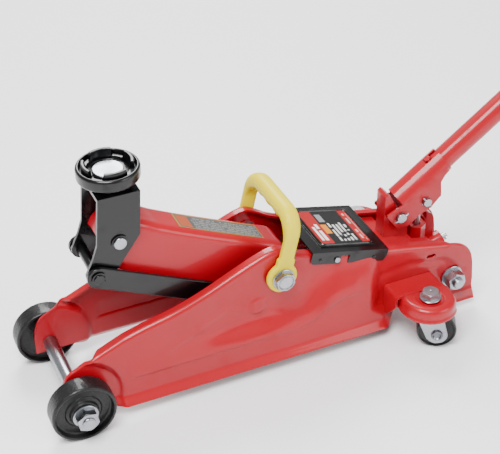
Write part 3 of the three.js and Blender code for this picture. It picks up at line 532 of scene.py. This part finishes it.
def plate_section(x):
    """Outer points of one cross-section: flared lip, web, rounded corner, flange."""
    top = np.interp(x, edge_x, edge_z)
    flare = ease(26, 40, x) * (1 - ease(335, 352, x)) + ease(402, 412, x)
    flange = max(2.2, 9.5 * ease(14, 26, x) * (1 - ease(404, 416, x)))
    lip = skid_bend - 2 + ((9.0 if x > 360 else 13.6) - skid_bend + 2) * flare
    corner = min(5.0, 0.3 * (top - skid_bend), 0.6 * (flange + 1))
    t = np.linspace(0, 1, 9)[:-1]
    out = skid_reach * flare * (1 - ease(-0.25, 1.1, t))
    skid = np.stack([plate_face(x, skid_bend) + out, lip + (skid_bend - lip) * t], axis=-1)
    web = np.linspace(skid_bend, top - corner, 64)
    web = np.stack([plate_face(x, web), web], axis=-1)
    side = web[-1, 0]
    turn = np.linspace(0, np.pi / 2, 10)[1:]
    round_over = np.stack([side - corner + corner * np.cos(turn), top - corner + corner * np.sin(turn)], axis=-1)
    edge = np.linspace(0.1, 1, 4)
    inward = np.stack([side - corner - (flange + 1 - corner) * edge, top + 0 * edge], axis=-1)
    return np.concatenate([skid, web, round_over, inward])


def side_plate(name, side, node):
    """The plate's grid of sections, its inner skin at right angles to the outer one, and the slot cut through both."""
    stations = np.unique(np.concatenate([np.linspace(-15, 60, 44), np.linspace(60, 240, 62),
                                         np.linspace(240, 340, 44), np.linspace(340, 444, 48)]))
    section = np.array([plate_section(x) for x in stations])
    along = np.gradient(section, axis=1)
    along = along / np.linalg.norm(along, axis=-1, keepdims=True)
    inside = section + plate_sheet * np.stack([-along[..., 1], along[..., 0]], axis=-1)
    x = np.broadcast_to(stations[:, None], section.shape[:2])
    outer, inner = (np.stack([x, side * s[..., 0], s[..., 1]], axis=-1) for s in (section, inside))
    plate = sheet_piece(name, outer, inner, red_paint, body_of[node], smooth=50.0)
    turn = np.linspace(0, 2 * np.pi, 24, endpoint=False)
    reach = np.stack([389 + np.sign(np.cos(turn)) * 3 + 2.2 * np.cos(turn), 76.5 + 2.2 * np.sin(turn)], axis=-1)
    grid = np.array([[(px, side * y, pz) for px, pz in reach] for y in (30, 50)])
    slot = mesh_piece("slot_cutter", *loft(grid), red_paint, body_of[node])
    return carved(plate, slot)


both_sides(side_plate, "side_plate")

# The base's rear lug is eased at its front corner, where the plunger's eye comes down beside it.
corner_cut = np.array([[(x, y, z) for x, z in ((403, 93), (406.4, 93), (406.4, 104), (403, 104))] for y in (0, 10)])
easing = mesh_piece("easing_cutter", *loft(corner_cut), red_paint, body_of["hydraulic_base"])
carved(bpy.data.objects["hydraulic_base_finished"], easing)
print("plates", extent("side_plate_left"))

# %% [markdown]
# ## Wheels
# The front wheels are iron castings: a hub, a web set well back with one step in it, and a tread with a raised lip.
# The casters are plain moulded rollers. Both are turned shapes, so a profile of radius and width is all they need.

# %% Wheels
def front_wheel(name, side, node):
    """The casting's profile of (radius, height), with the height turned round for the left wheel."""
    profile = [
        (6.3, -9), (6.3, 9), (12.4, 9.6), (13.8, 8.6), (14.4, 5.6), (17.2, 5.4), (18.2, 3.6), (26.8, 3.2), (28, 4.4),
        (28.6, 9.4), (29.6, 10), (31.2, 9.6), (32, 8), (32, -8), (31.2, -9.6), (29, -10), (28.2, -5), (26, -4),
        (14, -4), (13, -9.4), (11, -9.8)]
    grid = lathe(rounded(profile, 0.9, 4) * [1, side], 112)
    return ring_piece(name, grid, middle(node), wheel_casting, body_of[node])


def caster_wheel(name, side, node):
    """The roller's profile, turned with its fork."""
    profile = [(3.8, -9.6), (3.8, 9.6), (9, 9.8), (10, 8.4), (17.4, 8.2), (18, 9.6), (19, 10), (20.5, 8.4),
               (20.5, -8.4), (19, -10), (18, -9.6), (17.4, -8.2), (10, -8.4), (9, -9.8)]
    grid = lathe(rounded(profile, 0.8, 4), 96)
    return ring_piece(name, grid @ caster_turn.T, middle(node), caster_moulding, body_of[node])


caster_turn = np.array(Matrix.Rotation(math.radians(-28), 3, "Z"))
both_sides(front_wheel, "front_wheel")
both_sides(caster_wheel, "caster_wheel")
print("wheels made")

# %% [markdown]
# ## Nuts and threads
# Every nut is a hexagon whose corners are turned off at about 30 degrees, over a flat washer, and the end of its
# thread stands out a little. The chamfer is a cone cutting the hexagon, so the height of a flat's edge falls with
# the distance from the axis, which is what draws the curved line on each flat.

# %% Hexagon nuts
def across(grid, axis_side):
    """Turns a z-axis grid to point along y, towards a side."""
    return np.stack([grid[..., 0], axis_side * grid[..., 2], grid[..., 1]], axis=-1)


def nut_grid(corner, height, bore, start=0.0, turns=96):
    """A chamfered hexagon: radius = flat / cos(angle from the flat's middle), and the height falls by 0.55 for each
    millimetre that a point lies outside the circle in the flats."""
    angle = np.linspace(0, 2 * np.pi, turns, endpoint=False)
    flat = corner * math.cos(math.pi / 6)
    reach = flat / np.cos((angle + start) % (math.pi / 3) - math.pi / 6)
    drop = 0.55 * (reach - 0.97 * flat)
    one = np.ones_like(angle)
    radius = np.stack([bore * one, flat * 0.97 * one, reach, reach, flat * 0.97 * one, (bore + 0.6) * one, bore * one])
    level = np.stack([0 * one, 0 * one, 0.2 * drop, height - drop, height * one, height * one, (height - 0.6) * one])
    return np.stack([radius * np.cos(angle), radius * np.sin(angle), level], axis=-1)


def rod_grid(profile, turns=48):
    """A profile turned about z, with its rings as the grid's rows."""
    return lathe(profile, turns, "z").transpose(1, 0, 2)


def thread(radius, low, high, pitch=1.6):
    """A rod's outline with ridges a pitch apart and a chamfered end: (radius, height) pairs from the axis out."""
    count = int((high - 1 - low) / pitch * 2)
    ridges = [(radius - (0.55 if i % 2 else 0), low + 0.5 * pitch * i) for i in range(count)]
    return [(0.01, low), *ridges, (radius - 1.2, high), (1.0, high), (0.01, high - 0.1)]


def fastening(name, side, node, corner, seat, height, bolt, tip, washer=12.5):
    """A washer, a nut and the end of a thread in one column along y, on the node's own axis."""
    centre = middle(node) * [1, 0, 1]
    body = body_of[node]
    plain = [(bolt + 0.3, 0), (washer - 0.5, 0), (washer, 0.5), (washer, 1.6), (washer - 0.5, 2), (bolt + 0.3, 2)]
    ring_piece(node + "_washer", across(rod_grid(plain, 72) + [0, 0, seat], side), centre, zinc, body)
    end = thread(bolt, seat + 2 + height - 1, tip)
    ring_piece(node + "_thread", across(rod_grid(end), side), centre, zinc, body)
    grid = nut_grid(corner, height, bolt - 0.3, 0.35) + [0, 0, seat + 2]
    return ring_piece(name, across(grid, side), centre, zinc, body, 28.0)


both_sides(lambda name, side, node: fastening(name, side, node, 11.2, 71.2, 9.0, 6.0, 84.4), "front_nut")
both_sides(lambda name, side, node: fastening(name, side, node, 10.6, 50.9, 5.6, 8.0, 58.2, 11.5), "arm_nut")
both_sides(lambda name, side, node: fastening(name, side, node, 10.8, 41.2, 11.0, 6.0, 58.5), "tie_nut")


def caster_axle(name, side, node):
    """A rod with a dished head at each end: the rim stands 1.5 mm above the middle."""
    head = np.array([(3.4, 15.2), (6.0, 15.2), (6.0, 16.6), (5.4, 17.5), (4.5, 17.5), (3.2, 16.0), (0.01, 15.8)])
    profile = np.concatenate([(head * [1, -1])[::-1], head])
    grid = across(rod_grid(profile), 1) @ caster_turn.T
    return ring_piece(name, grid, middle(node), axle_steel, body_of[node])


both_sides(caster_axle, "caster_axle")
for node in ("swivel_bolt_left", "swivel_bolt_right"):
    shank = [(0.01, 43.6), (6.6, 43.6), (7, 44), (7, 46.4), (4, 46.7), (4, 59.5), (0.01, 59.5)]
    bolt = ring_piece(node + "_finished", rod_grid(shank), middle(node) * [1, 1, 0], zinc, body_of[node])
    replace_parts(bolt, node)
    grid = nut_grid(9.4, 6.8, 0.7) + [0, 0, 59.2]
    ring_piece(node + "_head", grid, middle(node) * [1, 1, 0], zinc, body_of[node], 28.0)
    plain = [(3.5, 57.4), (10.6, 57.4), (11, 57.8), (11, 58.9), (10.6, 59.3), (3.5, 59.3)]
    ring_piece(node + "_washer", rod_grid(plain, 72), middle(node) * [1, 1, 0], zinc, body_of[node])
print("nuts made")

# %% [markdown]
# ## Lift arm
# The arm is a channel pressed from sheet, open underneath, with a broad rounded shoulder along both upper edges.
# Stations run along its own line, from the nose at the front pin to the lever behind the shaft; the section is an
# upside-down U whose top and foot are read from two outlines.

# %% Lift arm
on_arm = tilted(60.74, 183.6, math.radians(-25.5))  # from the front pin, back along the arm
arm_top = np.concatenate([bezier([(-13.5, 3), (-11, 16), (2, 19.5)]), bezier([(2, 19.5), (14, 22.5), (36, 19.5)]),
                          bezier([(36, 19.5), (70, 18), (125, 19), (169.8, 21)])[1:],
                          bezier([(169.8, 21), (190, 20), (191.5, 0), (193.5, -34)])[1:]])
arm_foot = np.array([(-13.5, -9.7), (-4, -14), (4, -24), (10, -29.5), (25, -32), (128, -34), (171.8, -46.6),
                     (183.8, -50.6), (193.5, -42)])


def arm_section(u, width, drop, points=10):
    """One upside-down U: half the width, lowered by drop, with the shoulders rounded."""
    top = np.interp(u, *arm_top.T) - drop
    foot = np.interp(u, *arm_foot.T)
    shoulder = max(0.5, min(8.0 - drop, 0.45 * (top - foot)))
    turn = np.linspace(0, np.pi / 2, points)
    rise = np.linspace(foot, top - shoulder, points)[:-1]
    left = np.stack([np.full_like(rise, -width), rise], axis=-1)
    curve = np.stack([-width + shoulder - shoulder * np.cos(turn), top - shoulder + shoulder * np.sin(turn)], axis=-1)
    half = np.concatenate([left, curve])
    across_top = np.linspace(-width + shoulder, width - shoulder, points)[1:-1]
    crown = np.stack([across_top, np.full(points - 2, top)], axis=-1)
    section = np.concatenate([half, crown, half[::-1] * [-1, 1]])
    return np.insert(section, 0, u, axis=1)


arm_stations = np.unique(np.concatenate([-13.5 + 15.5 * np.linspace(0, 1, 22) ** 2, np.linspace(2, 165, 60),
                                         np.linspace(165, 193.5, 26)]))
arm_outer = on_arm([arm_section(u, 20.4, 0.0) for u in arm_stations])
arm_inner = on_arm([arm_section(u, 17.4, 3.0) for u in arm_stations])
arm_piece = sheet_piece("lift_arm_finished", arm_outer, arm_inner, red_paint, body_of["lift_arm"], smooth=50.0)
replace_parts(arm_piece, "lift_arm")
nose = rounded([(-13.4, -9.6), (-13.4, 3), (-10, 11), (-6, 11), (-6, -11)], 2.0, 4)
nose_grid = on_arm([[(u, y, v) for u, v in nose] for y in np.linspace(-18, 18, 5)])
mesh_piece("arm_nose", *loft(nose_grid), red_paint, body_of["lift_arm"])
print("arm points", arm_outer.shape)

# %% [markdown]
# ## Saddle
# A malleable casting: a heavy ring, a groove, and a crown whose wall is broken by four notches that grip a jacking
# seam. The notches lower the crown's points by an amount that depends only on the angle.

# %% Saddle cup
def saddle():
    """The turned cup, with every point above the groove let down towards it inside a notch."""
    centre = middle("saddle_cup") * [1, 1, 0]
    base = extent("saddle_cup")[0][2] - 0.3
    profile = [(6.4, 0.4), (16, 0.4), (17.6, 6), (27.8, 6.1), (29.6, 8), (29.6, 17.2), (28.2, 19), (26.2, 19),
               (25.4, 14), (24.2, 13.8), (24, 23), (20.6, 23), (19.4, 12.2), (6.4, 12)]
    grid = lathe(rounded(profile, 1.1, 5), 192, "z")
    angle = np.arctan2(grid[..., 1], grid[..., 0])
    radius = np.hypot(grid[..., 0], grid[..., 1])
    off = np.abs((angle % (np.pi / 2)) - np.pi / 4) * 22
    notch = (1 - ease(5.6, 7.2, off)) * ease(18.5, 19.5, radius) * (1 - ease(24.1, 25, radius))
    grid[..., 2] = np.where(grid[..., 2] > 15.5, 15.5 + (grid[..., 2] - 15.5) * (1 - notch), grid[..., 2])
    piece = ring_piece("saddle_cup_finished", grid, centre + [0, 0, base], black_paint, body_of["saddle_cup"])
    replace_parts(piece, "saddle_cup")


saddle()
print("saddle", extent("saddle_cup"))

# %% [markdown]
# ## Carry handle
# One moulding: an eye on each end of the arm's shaft, a flat leg with a small shoulder, a bend, and a grip with
# finger waves underneath. The whole path lies in one tilted plane, so a section with a width across that plane and
# a thickness in it never twists.

# %% Carry handle
def carry():
    """A superellipse carried along the handle's path: flat and nearly square at the eye, almost round at the grip."""
    lean = np.array([14.0, 0, 61.5])
    length = np.linalg.norm(lean)
    up = lean / length
    wide = np.array([up[2], 0, -up[0]])
    start = np.array([214, 0, 110.5])
    side_y = 47.4
    leg = np.array([start + up * s + [0, -side_y, 0] for s in np.concatenate([
        -15.8 * np.cos(np.linspace(0, np.pi / 2, 18)), np.linspace(1, 38, 34)])])
    bend = bezier([start + up * 38 + [0, -side_y, 0], start + up * 52 + [0, -side_y, 0],
                   start + lean + [0, -39, 0], start + lean + [0, -24, 0]], 26)[1:]
    grip = np.array([start + lean + [0, y, 0] for y in np.linspace(-24, 24, 60)[1:-1]])
    half = np.concatenate([leg, bend])
    path = np.concatenate([half, grip, half[::-1] * [1, -1, 1]])
    tangent = np.gradient(path, axis=0)
    tangent = tangent / np.linalg.norm(tangent, axis=1, keepdims=True)
    normal = np.cross(wide, tangent)
    height = (path - start) @ up
    eye = np.sqrt(np.maximum(15.9 ** 2 - height ** 2, 0.3))
    leg_half = 9.3 - 1.9 * ease(20.5, 21.5, height) + 1.4 * ease(40, 58, height)
    half_width = np.where(height < 0, eye, np.maximum(eye, leg_half))
    half_depth = 3.2 + 4.9 * ease(36, 60, height)
    turn = np.linspace(0, 2 * np.pi, 40, endpoint=False)[None, :, None]
    square = 4.6 - 2.3 * ease(30, 58, height)[:, None, None]
    cosine, sine = np.cos(turn), np.sin(turn)
    shape_w = np.sign(cosine) * np.abs(cosine) ** (2 / square)
    shape_n = np.sign(sine) * np.abs(sine) ** (2 / square)
    wave = 1.0 + np.cos(path[:, 1] * 2 * np.pi / 19.0)
    wave = wave * ease(56, 61, height) * (1 - ease(30, 38, np.abs(path[:, 1])))
    inner_side = np.where((normal @ up)[:, None, None] * shape_n < 0, 1.0, 0.0) * np.abs(shape_n)
    depth = half_depth[:, None, None] + 1.1 * wave[:, None, None] * inner_side
    points = path[:, None] + wide * shape_w * half_width[:, None, None] + normal[:, None] * shape_n * depth
    piece = mesh_piece("carry_handle_finished", *loft(points), yellow_moulding, body_of["carry_handle"], 60.0)
    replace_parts(piece, "carry_handle")


carry()
print("carry handle", extent("carry_handle"))

# %% [markdown]
# ## Caster wings
# Each wing is a deep-drawn cup welded to the plate: a bead round the mouth, a short wall, a rounded shoulder, and a
# top with a shallow round seat pressed for the bolt. Rings of the same clipped circle, one inside the other, make
# the cup. A folded gusset joins it to the plate in front.

# %% Caster wings
wing_root, wing_back = 41.4, 391.0
swivel_x, swivel_y = 366.5, 79.5


def wing_ring(radius, level, inset):
    """A circle widened inboard by 12 percent and clipped flat against the plate and at the back."""
    angle = np.linspace(0, 2 * np.pi, 120, endpoint=False)
    x = 368 + radius * np.cos(angle) * (1 + 0.12 * np.maximum(0, -np.sin(angle)))
    y = 75 + radius * np.sin(angle)
    x, y = np.minimum(x, wing_back - inset), np.maximum(y, wing_root + inset)
    seat = np.clip(np.hypot(x - swivel_x, y - swivel_y), 0, 40)
    return np.stack([x, y, level - 1.1 * (1 - ease(12.5, 15.5, seat)) * (level > 53)], axis=-1)


def caster_wing(name, side, node):
    """The cup's rings, its inner skin 2.6 mm inside them, and the gusset folded down in front."""
    rim = np.array([(29.6, 42.0), (30.0, 43.0), (29.8, 44.6), (28.9, 45.6), (28.6, 47.0), (28.4, 50.0)])
    shoulder = bezier([(28.4, 50), (28.0, 57), (22, 57)], 10)[1:]
    crown = np.stack([np.linspace(21, 0.1, 26), np.full(26, 57.0)], axis=-1)
    profile = np.concatenate([rim, shoulder, crown])
    outer = np.array([wing_ring(radius, level, 0.0) for radius, level in profile])
    inner = np.array([wing_ring(max(0.1, radius - 2.6), level - 2.6 * (level > 46), 2.6) for radius, level in profile])
    mirror = np.array([1, side, 1])
    body = body_of[node]
    wing = sheet_piece(name, outer * mirror, inner * mirror, red_paint, body, around=True, smooth=45.0)
    top = 57.2
    front = np.array([[(334.2 + 0.3 * d, y, 21 + 24 * d ** 1.5), (334.2, y, top - 3), (335.2, y, top - 0.8),
                       (338, y, top), (388, y, top), (390, y, top - 0.8), (390.8, y, top - 3), (390.8, y, 45)]
                      for d, y in ((d, wing_root + 25.0 * d) for d in np.linspace(0, 1, 12))])
    under = front + np.array([[2.6, 0, 0], [2.6, 0, 0], [2.0, 0, -2], [0, 0, -2.6], [0, 0, -2.6], [-2, 0, -2],
                              [-2.6, 0, 0], [-2.6, 0, 0]])
    sheet_piece(node + "_gusset", front * mirror, under * mirror, red_paint, body, smooth=50.0)
    return wing


both_sides(caster_wing, "caster_wing")

# %% [markdown]
# ## Handle
# The handle is drawn tube with three shallow flutes, which key it in the socket. Radius against angle is a circle
# plus a small wave with three crests; the inside follows at the tube's wall.

# %% Fluted handle tubes
on_handle = tilted(365.1, 116.1, math.radians(36.4))  # from the socket's pivot, up along the handle
handle_offset = 7.9


def tube(name, node, stations):
    """A tube along the handle: stations are (along, outer radius, inner radius) with the flutes fading at the ends."""
    angle = np.linspace(0, 2 * np.pi, 96, endpoint=False)
    wave = 0.5 * np.cos(3 * angle)
    rows = [(u, outer - 0.5 + wave * (outer > 11)) for u, outer, _ in stations]
    rows += [(u, inner - 0.3 + 0 * wave) for u, _, inner in reversed(stations)]
    grid = np.array([np.stack([np.full_like(angle, u), r * np.cos(angle), handle_offset + r * np.sin(angle)], axis=-1)
                     for u, r in rows])
    faces = grid_faces(*grid.shape[:2], True, True)
    return mesh_piece(name, on_handle(grid).reshape(-1, 3), faces, red_paint, body_of[node], 30.0)


lower = [(46.0, 11.9, 11.0), (46.4, 12.3, 10.8), (272.4, 12.3, 10.8), (273.0, 11.8, 11.0)]
upper = [(231.0, 10.2, 9.0), (231.6, 10.5, 8.9), (273.4, 10.5, 8.9), (273.5, 11.9, 8.9), (274.0, 12.3, 8.9),
         (502.6, 12.3, 8.9), (503.0, 12.0, 9.1)]
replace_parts(tube("handle_lower_finished", "handle_lower", lower), "handle_lower")
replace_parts(tube("handle_upper_finished", "handle_upper", upper), "handle_upper")
print("handle", extent("handle_upper"))

# %% [markdown]
# ## Printed labels
# Two labels are printed film: a long warning strip on the arm and a block of panels on the cover. Each is a thin
# sheet with its own 0-to-1 map, and its bands, boxes and rows of broken lines are thresholds of that map. The
# broken lines only stand for rows of small print; there are no words in them.

# %% Labels
class Print(Finish):
    """A finish drawn on a piece's own map, where x and y each run from 0 to 1."""

    def __init__(self, name, **constants):
        super().__init__(name, **constants)
        split = self.tree.nodes.new("ShaderNodeSeparateXYZ")
        self.tree.links.new(self.tree.nodes["Texture Coordinate"].outputs["UV"], split.inputs[0])
        self.x, self.y = Wire(self, split.outputs[0]), Wire(self, split.outputs[1])

    def box(self, left, right, low, high, soft=0.006):
        """1 inside a rectangle of the map."""
        inside = self.x.above(left, soft) - self.x.above(right, soft)
        return inside * (self.y.above(low, soft) - self.y.above(high, soft))

    def lines(self, wire, other, rows, words, fill=0.5):
        """Rows of broken dashes: a stripe from one direction, gaps from noise along the other."""
        stripe = (wire * rows).math("FRACT", wire * rows).above(1 - fill, 0.12)
        row = wire.math("FLOOR", wire * rows)
        place_at = self.node("CombineXYZ", X=other * words, Y=row * 3.7)
        return stripe * self.node("TexNoise", Vector=place_at, Scale=1.0, Detail=0.0).above(0.42, 0.05)


def label(name, corner_grid, material, body):
    """A thin sheet over a grid of points, with the map running over the grid."""
    lift = np.cross(corner_grid[1, 0] - corner_grid[0, 0], corner_grid[0, 1] - corner_grid[0, 0])
    lift = -lift / np.linalg.norm(lift) * (1 if lift[2] < 0 else -1) * 0.12
    piece = sheet_piece(name, corner_grid + 2 * lift, corner_grid + lift, material, body)
    flat = corner_grid.reshape(-1, 3)
    unit_v = corner_grid[0, -1] - corner_grid[0, 0]
    unit_u = corner_grid[-1, 0] - corner_grid[0, 0]
    layer = piece.data.uv_layers.new(name="print")
    spots = np.empty(len(piece.data.vertices) * 3)
    piece.data.vertices.foreach_get("co", spots)
    spots = spots.reshape(-1, 3) / mm - np.array([axle_x, 0, 0]) / mm - flat[0]
    mapped = np.stack([spots @ unit_u / (unit_u @ unit_u), spots @ unit_v / (unit_v @ unit_v)], axis=-1)
    corners = np.empty(len(piece.data.loops), dtype=int)
    piece.data.loops.foreach_get("vertex_index", corners)
    layer.data.foreach_set("uv", mapped[corners].ravel())
    return piece


warning = Print("warning_strip", Coat_Roughness=0.2)
ink = warning.lines(warning.y, warning.x, 7.0, 60.0, 0.62) * warning.box(0.2, 0.98, 0.08, 0.92)
heads = warning.box(0.03, 0.17, 0.1, 0.9)
border = 1 - warning.box(0.02, 0.99, 0.04, 0.96)
paper = warning.blend(ink, rgb(60, 61, 63), rgb(112, 112, 110))
paper = warning.blend(heads, paper, rgb(150, 60, 6))
warning.drive("Base Color", warning.blend(border, paper, rgb(140, 110, 30)))
warning.drive("Roughness", 0.42 + warning.noise(300.0) * 0.2)
u_grid, y_grid = np.meshgrid(np.linspace(61, 157, 30), np.linspace(-12.2, 12.2, 10), indexing="ij")
strip = on_arm(np.stack([u_grid, y_grid, np.interp(u_grid, *arm_top.T)], axis=-1))
label("arm_label", strip, warning.material, body_of["lift_arm"])

panel = Print("cover_label", Coat_Roughness=0.15)
small = panel.lines(panel.x, panel.y, 13.0, 9.0, 0.55)
sheet = panel.blend(small * panel.box(0.4, 0.78, 0.06, 0.62), rgb(8, 8, 9), rgb(190, 190, 188))
sheet = panel.blend(panel.box(0.0, 0.26, -0.1, 1.1) + panel.box(0.83, 1.0, -0.1, 1.1), sheet, rgb(150, 0, 6))
sheet = panel.blend(small * panel.box(0.85, 0.97, 0.06, 0.9), sheet, rgb(196, 150, 140))
sheet = panel.blend(panel.box(0.3, 0.42, 0.66, 0.9), sheet, rgb(120, 122, 124))
sheet = panel.blend(panel.box(0.26, 0.38, 0.3, 0.58), sheet, rgb(200, 120, 6))
blocks = panel.box(0.06, 0.11, 0.1, 0.52) + panel.box(0.14, 0.2, 0.1, 0.4) + panel.box(0.14, 0.2, 0.46, 0.6)
panel.drive("Base Color", panel.blend(blocks, sheet, rgb(215, 215, 212)))
panel.drive("Roughness", 0.24 + panel.noise(300.0) * 0.16)
on_cover = tilted(250, 124.6, -math.atan2(20.8, 86.0))  # from the cover's front edge, back along its top
u_grid, y_grid = np.meshgrid(np.linspace(17, 74, 12), np.linspace(-30, 30, 12), indexing="ij")
label("cover_print", on_cover(np.stack([u_grid, y_grid, np.full_like(u_grid, 1.6)], axis=-1)), panel.material,
      body_of["top_cover"])
rim_shape = rounded([(14.2, -33), (76, -33), (76, 33), (14.2, 33)], 7, 8)
rim_in = rounded([(17, -30.3), (73.8, -30.3), (73.8, 30.3), (17, 30.3)], 5, 8)
rim_rows = np.array([[(*p, 1.4) for p in rim_shape], [(*p, 2.5) for p in 0.7 * rim_shape + 0.3 * rim_in],
                     [(*p, 2.5) for p in 0.3 * rim_shape + 0.7 * rim_in], [(*p, 1.4) for p in rim_in]])
mesh_piece("cover_rim", on_cover(rim_rows).reshape(-1, 3), grid_faces(4, rim_rows.shape[1], True, True),
           black_paint, body_of["top_cover"])
for side in (-1, 1):
    for index, along in enumerate((11, 73)):
        grid = lathe([(0.01, 0), (2.1, 0), (2.0, 0.5), (1.2, 0.9), (0.01, 1.0)], 32) * [1, side, 1]
        spot = on_cover([along, side * 42.9, -9.0])
        ring_piece(f"cover_rivet_{'lr'[side > 0]}{index}", grid, spot, black_paint, body_of["top_cover"])
print("labels and rivets made")

# %% [markdown]
# ## Clips
# The pins are kept in by spring clips: a flat open ring in a groove on the plain pins, and a bent wire through the
# two pins of the socket.

# %% Rings and wire pins
def open_ring(name, centre, y, radius, material, body):
    """A flat ring, 1 mm thick, open over a sixth of its turn, standing on a pin along y."""
    angle = np.linspace(0.5, 2 * np.pi - 0.5, 60)
    section = np.array([(radius, -0.5), (radius + 2.6, -0.5), (radius + 2.6, 0.5), (radius, 0.5)])
    grid = np.array([[(centre[0] + r * math.cos(a), y + h, centre[2] + r * math.sin(a)) for r, h in section]
                     for a in angle])
    return mesh_piece(name, *loft(grid), material, body)


def wire(name, points, radius, material, body):
    """A round wire through a list of points."""
    path = np.array(points, dtype=float)
    tangent = np.gradient(path, axis=0)
    tangent = tangent / np.linalg.norm(tangent, axis=1, keepdims=True)
    side = np.cross(tangent, [0.31, 0.9, 0.27])
    side = side / np.linalg.norm(side, axis=1, keepdims=True)
    other = np.cross(tangent, side)
    turn = np.linspace(0, 2 * np.pi, 12, endpoint=False)[None, :, None]
    grid = path[:, None] + radius * (np.cos(turn) * side[:, None] + np.sin(turn) * other[:, None])
    return mesh_piece(name, *loft(grid), material, body, 60.0)


for side in (-1, 1):
    tag = "lr"[side > 0]
    open_ring(f"arm_pin_clip_{tag}", middle("arm_front_pin"), side * 25.6, 5.4, black_paint,
              body_of["arm_front_pin"])
    open_ring(f"link_clip_{tag}", middle("link_rod"), side * 31.2, 4.4, black_paint, body_of["link_rod"])
    for node, tilt in (("socket_pivot_pin", 0.5), ("pump_pin", -0.9)):
        x, _, z = middle(node)
        out = np.array([math.cos(tilt), 0, math.sin(tilt)])
        turn = np.linspace(0, 1, 26)[:, None]
        loop = np.array([x, side * 16.4, z]) - 8.5 * out + 17 * turn * out
        loop = loop + np.array([0, side * 1.2, 0]) * np.sin(turn * np.pi * 3)
        wire(f"{node}_wire_{tag}", loop, 0.8, zinc, body_of[node])
print("clips made")

# %% [markdown]
# ## Studio
# A pale floor and three large soft lights: one above and to the left, one low fill, and one behind that draws
# the bright lines along the edges.

# %% Floor and lights
floor_mesh = bpy.data.meshes.new("floor")
floor_mesh.from_pydata([(-6, -6, 0), (6, -6, 0), (6, 6, 0), (-6, 6, 0)], [], [(0, 1, 2, 3)])
floor = bpy.data.objects.new("floor", floor_mesh)
bpy.context.collection.objects.link(floor)
floor_paint = Finish("studio_floor", Roughness=0.55)
floor_paint.drive("Base Color", floor_paint.blend(floor_paint.noise(2.0, 2.0), rgb(250, 250, 251), rgb(246, 246, 248)))
floor_mesh.materials.append(floor_paint.material)

world = bpy.data.worlds.new("studio")
bpy.context.scene.world = world
world.use_nodes = True
world.node_tree.nodes["Background"].inputs["Color"].default_value = (1.0, 1.0, 1.0, 1.0)
world.node_tree.nodes["Background"].inputs["Strength"].default_value = 0.55


def softbox(name, position, target, size, power):
    """A square area light at one point, turned to face another."""
    light = bpy.data.lights.new(name, "AREA")
    light.shape = "SQUARE"
    light.size = size
    light.energy = power
    lamp = bpy.data.objects.new(name, light)
    bpy.context.collection.objects.link(lamp)
    lamp.location = position
    lamp.rotation_euler = (Vector(target) - Vector(position)).to_track_quat("-Z", "Y").to_euler()
    return lamp


softbox("key", (-0.8, -0.7, 1.9), (0, 0, 0.1), 1.0, 80)
softbox("fill", (1.3, -1.6, 1.1), (0, 0, 0.1), 1.2, 26)
softbox("rim", (0.2, 1.5, 1.7), (0, 0, 0.1), 1.0, 60)
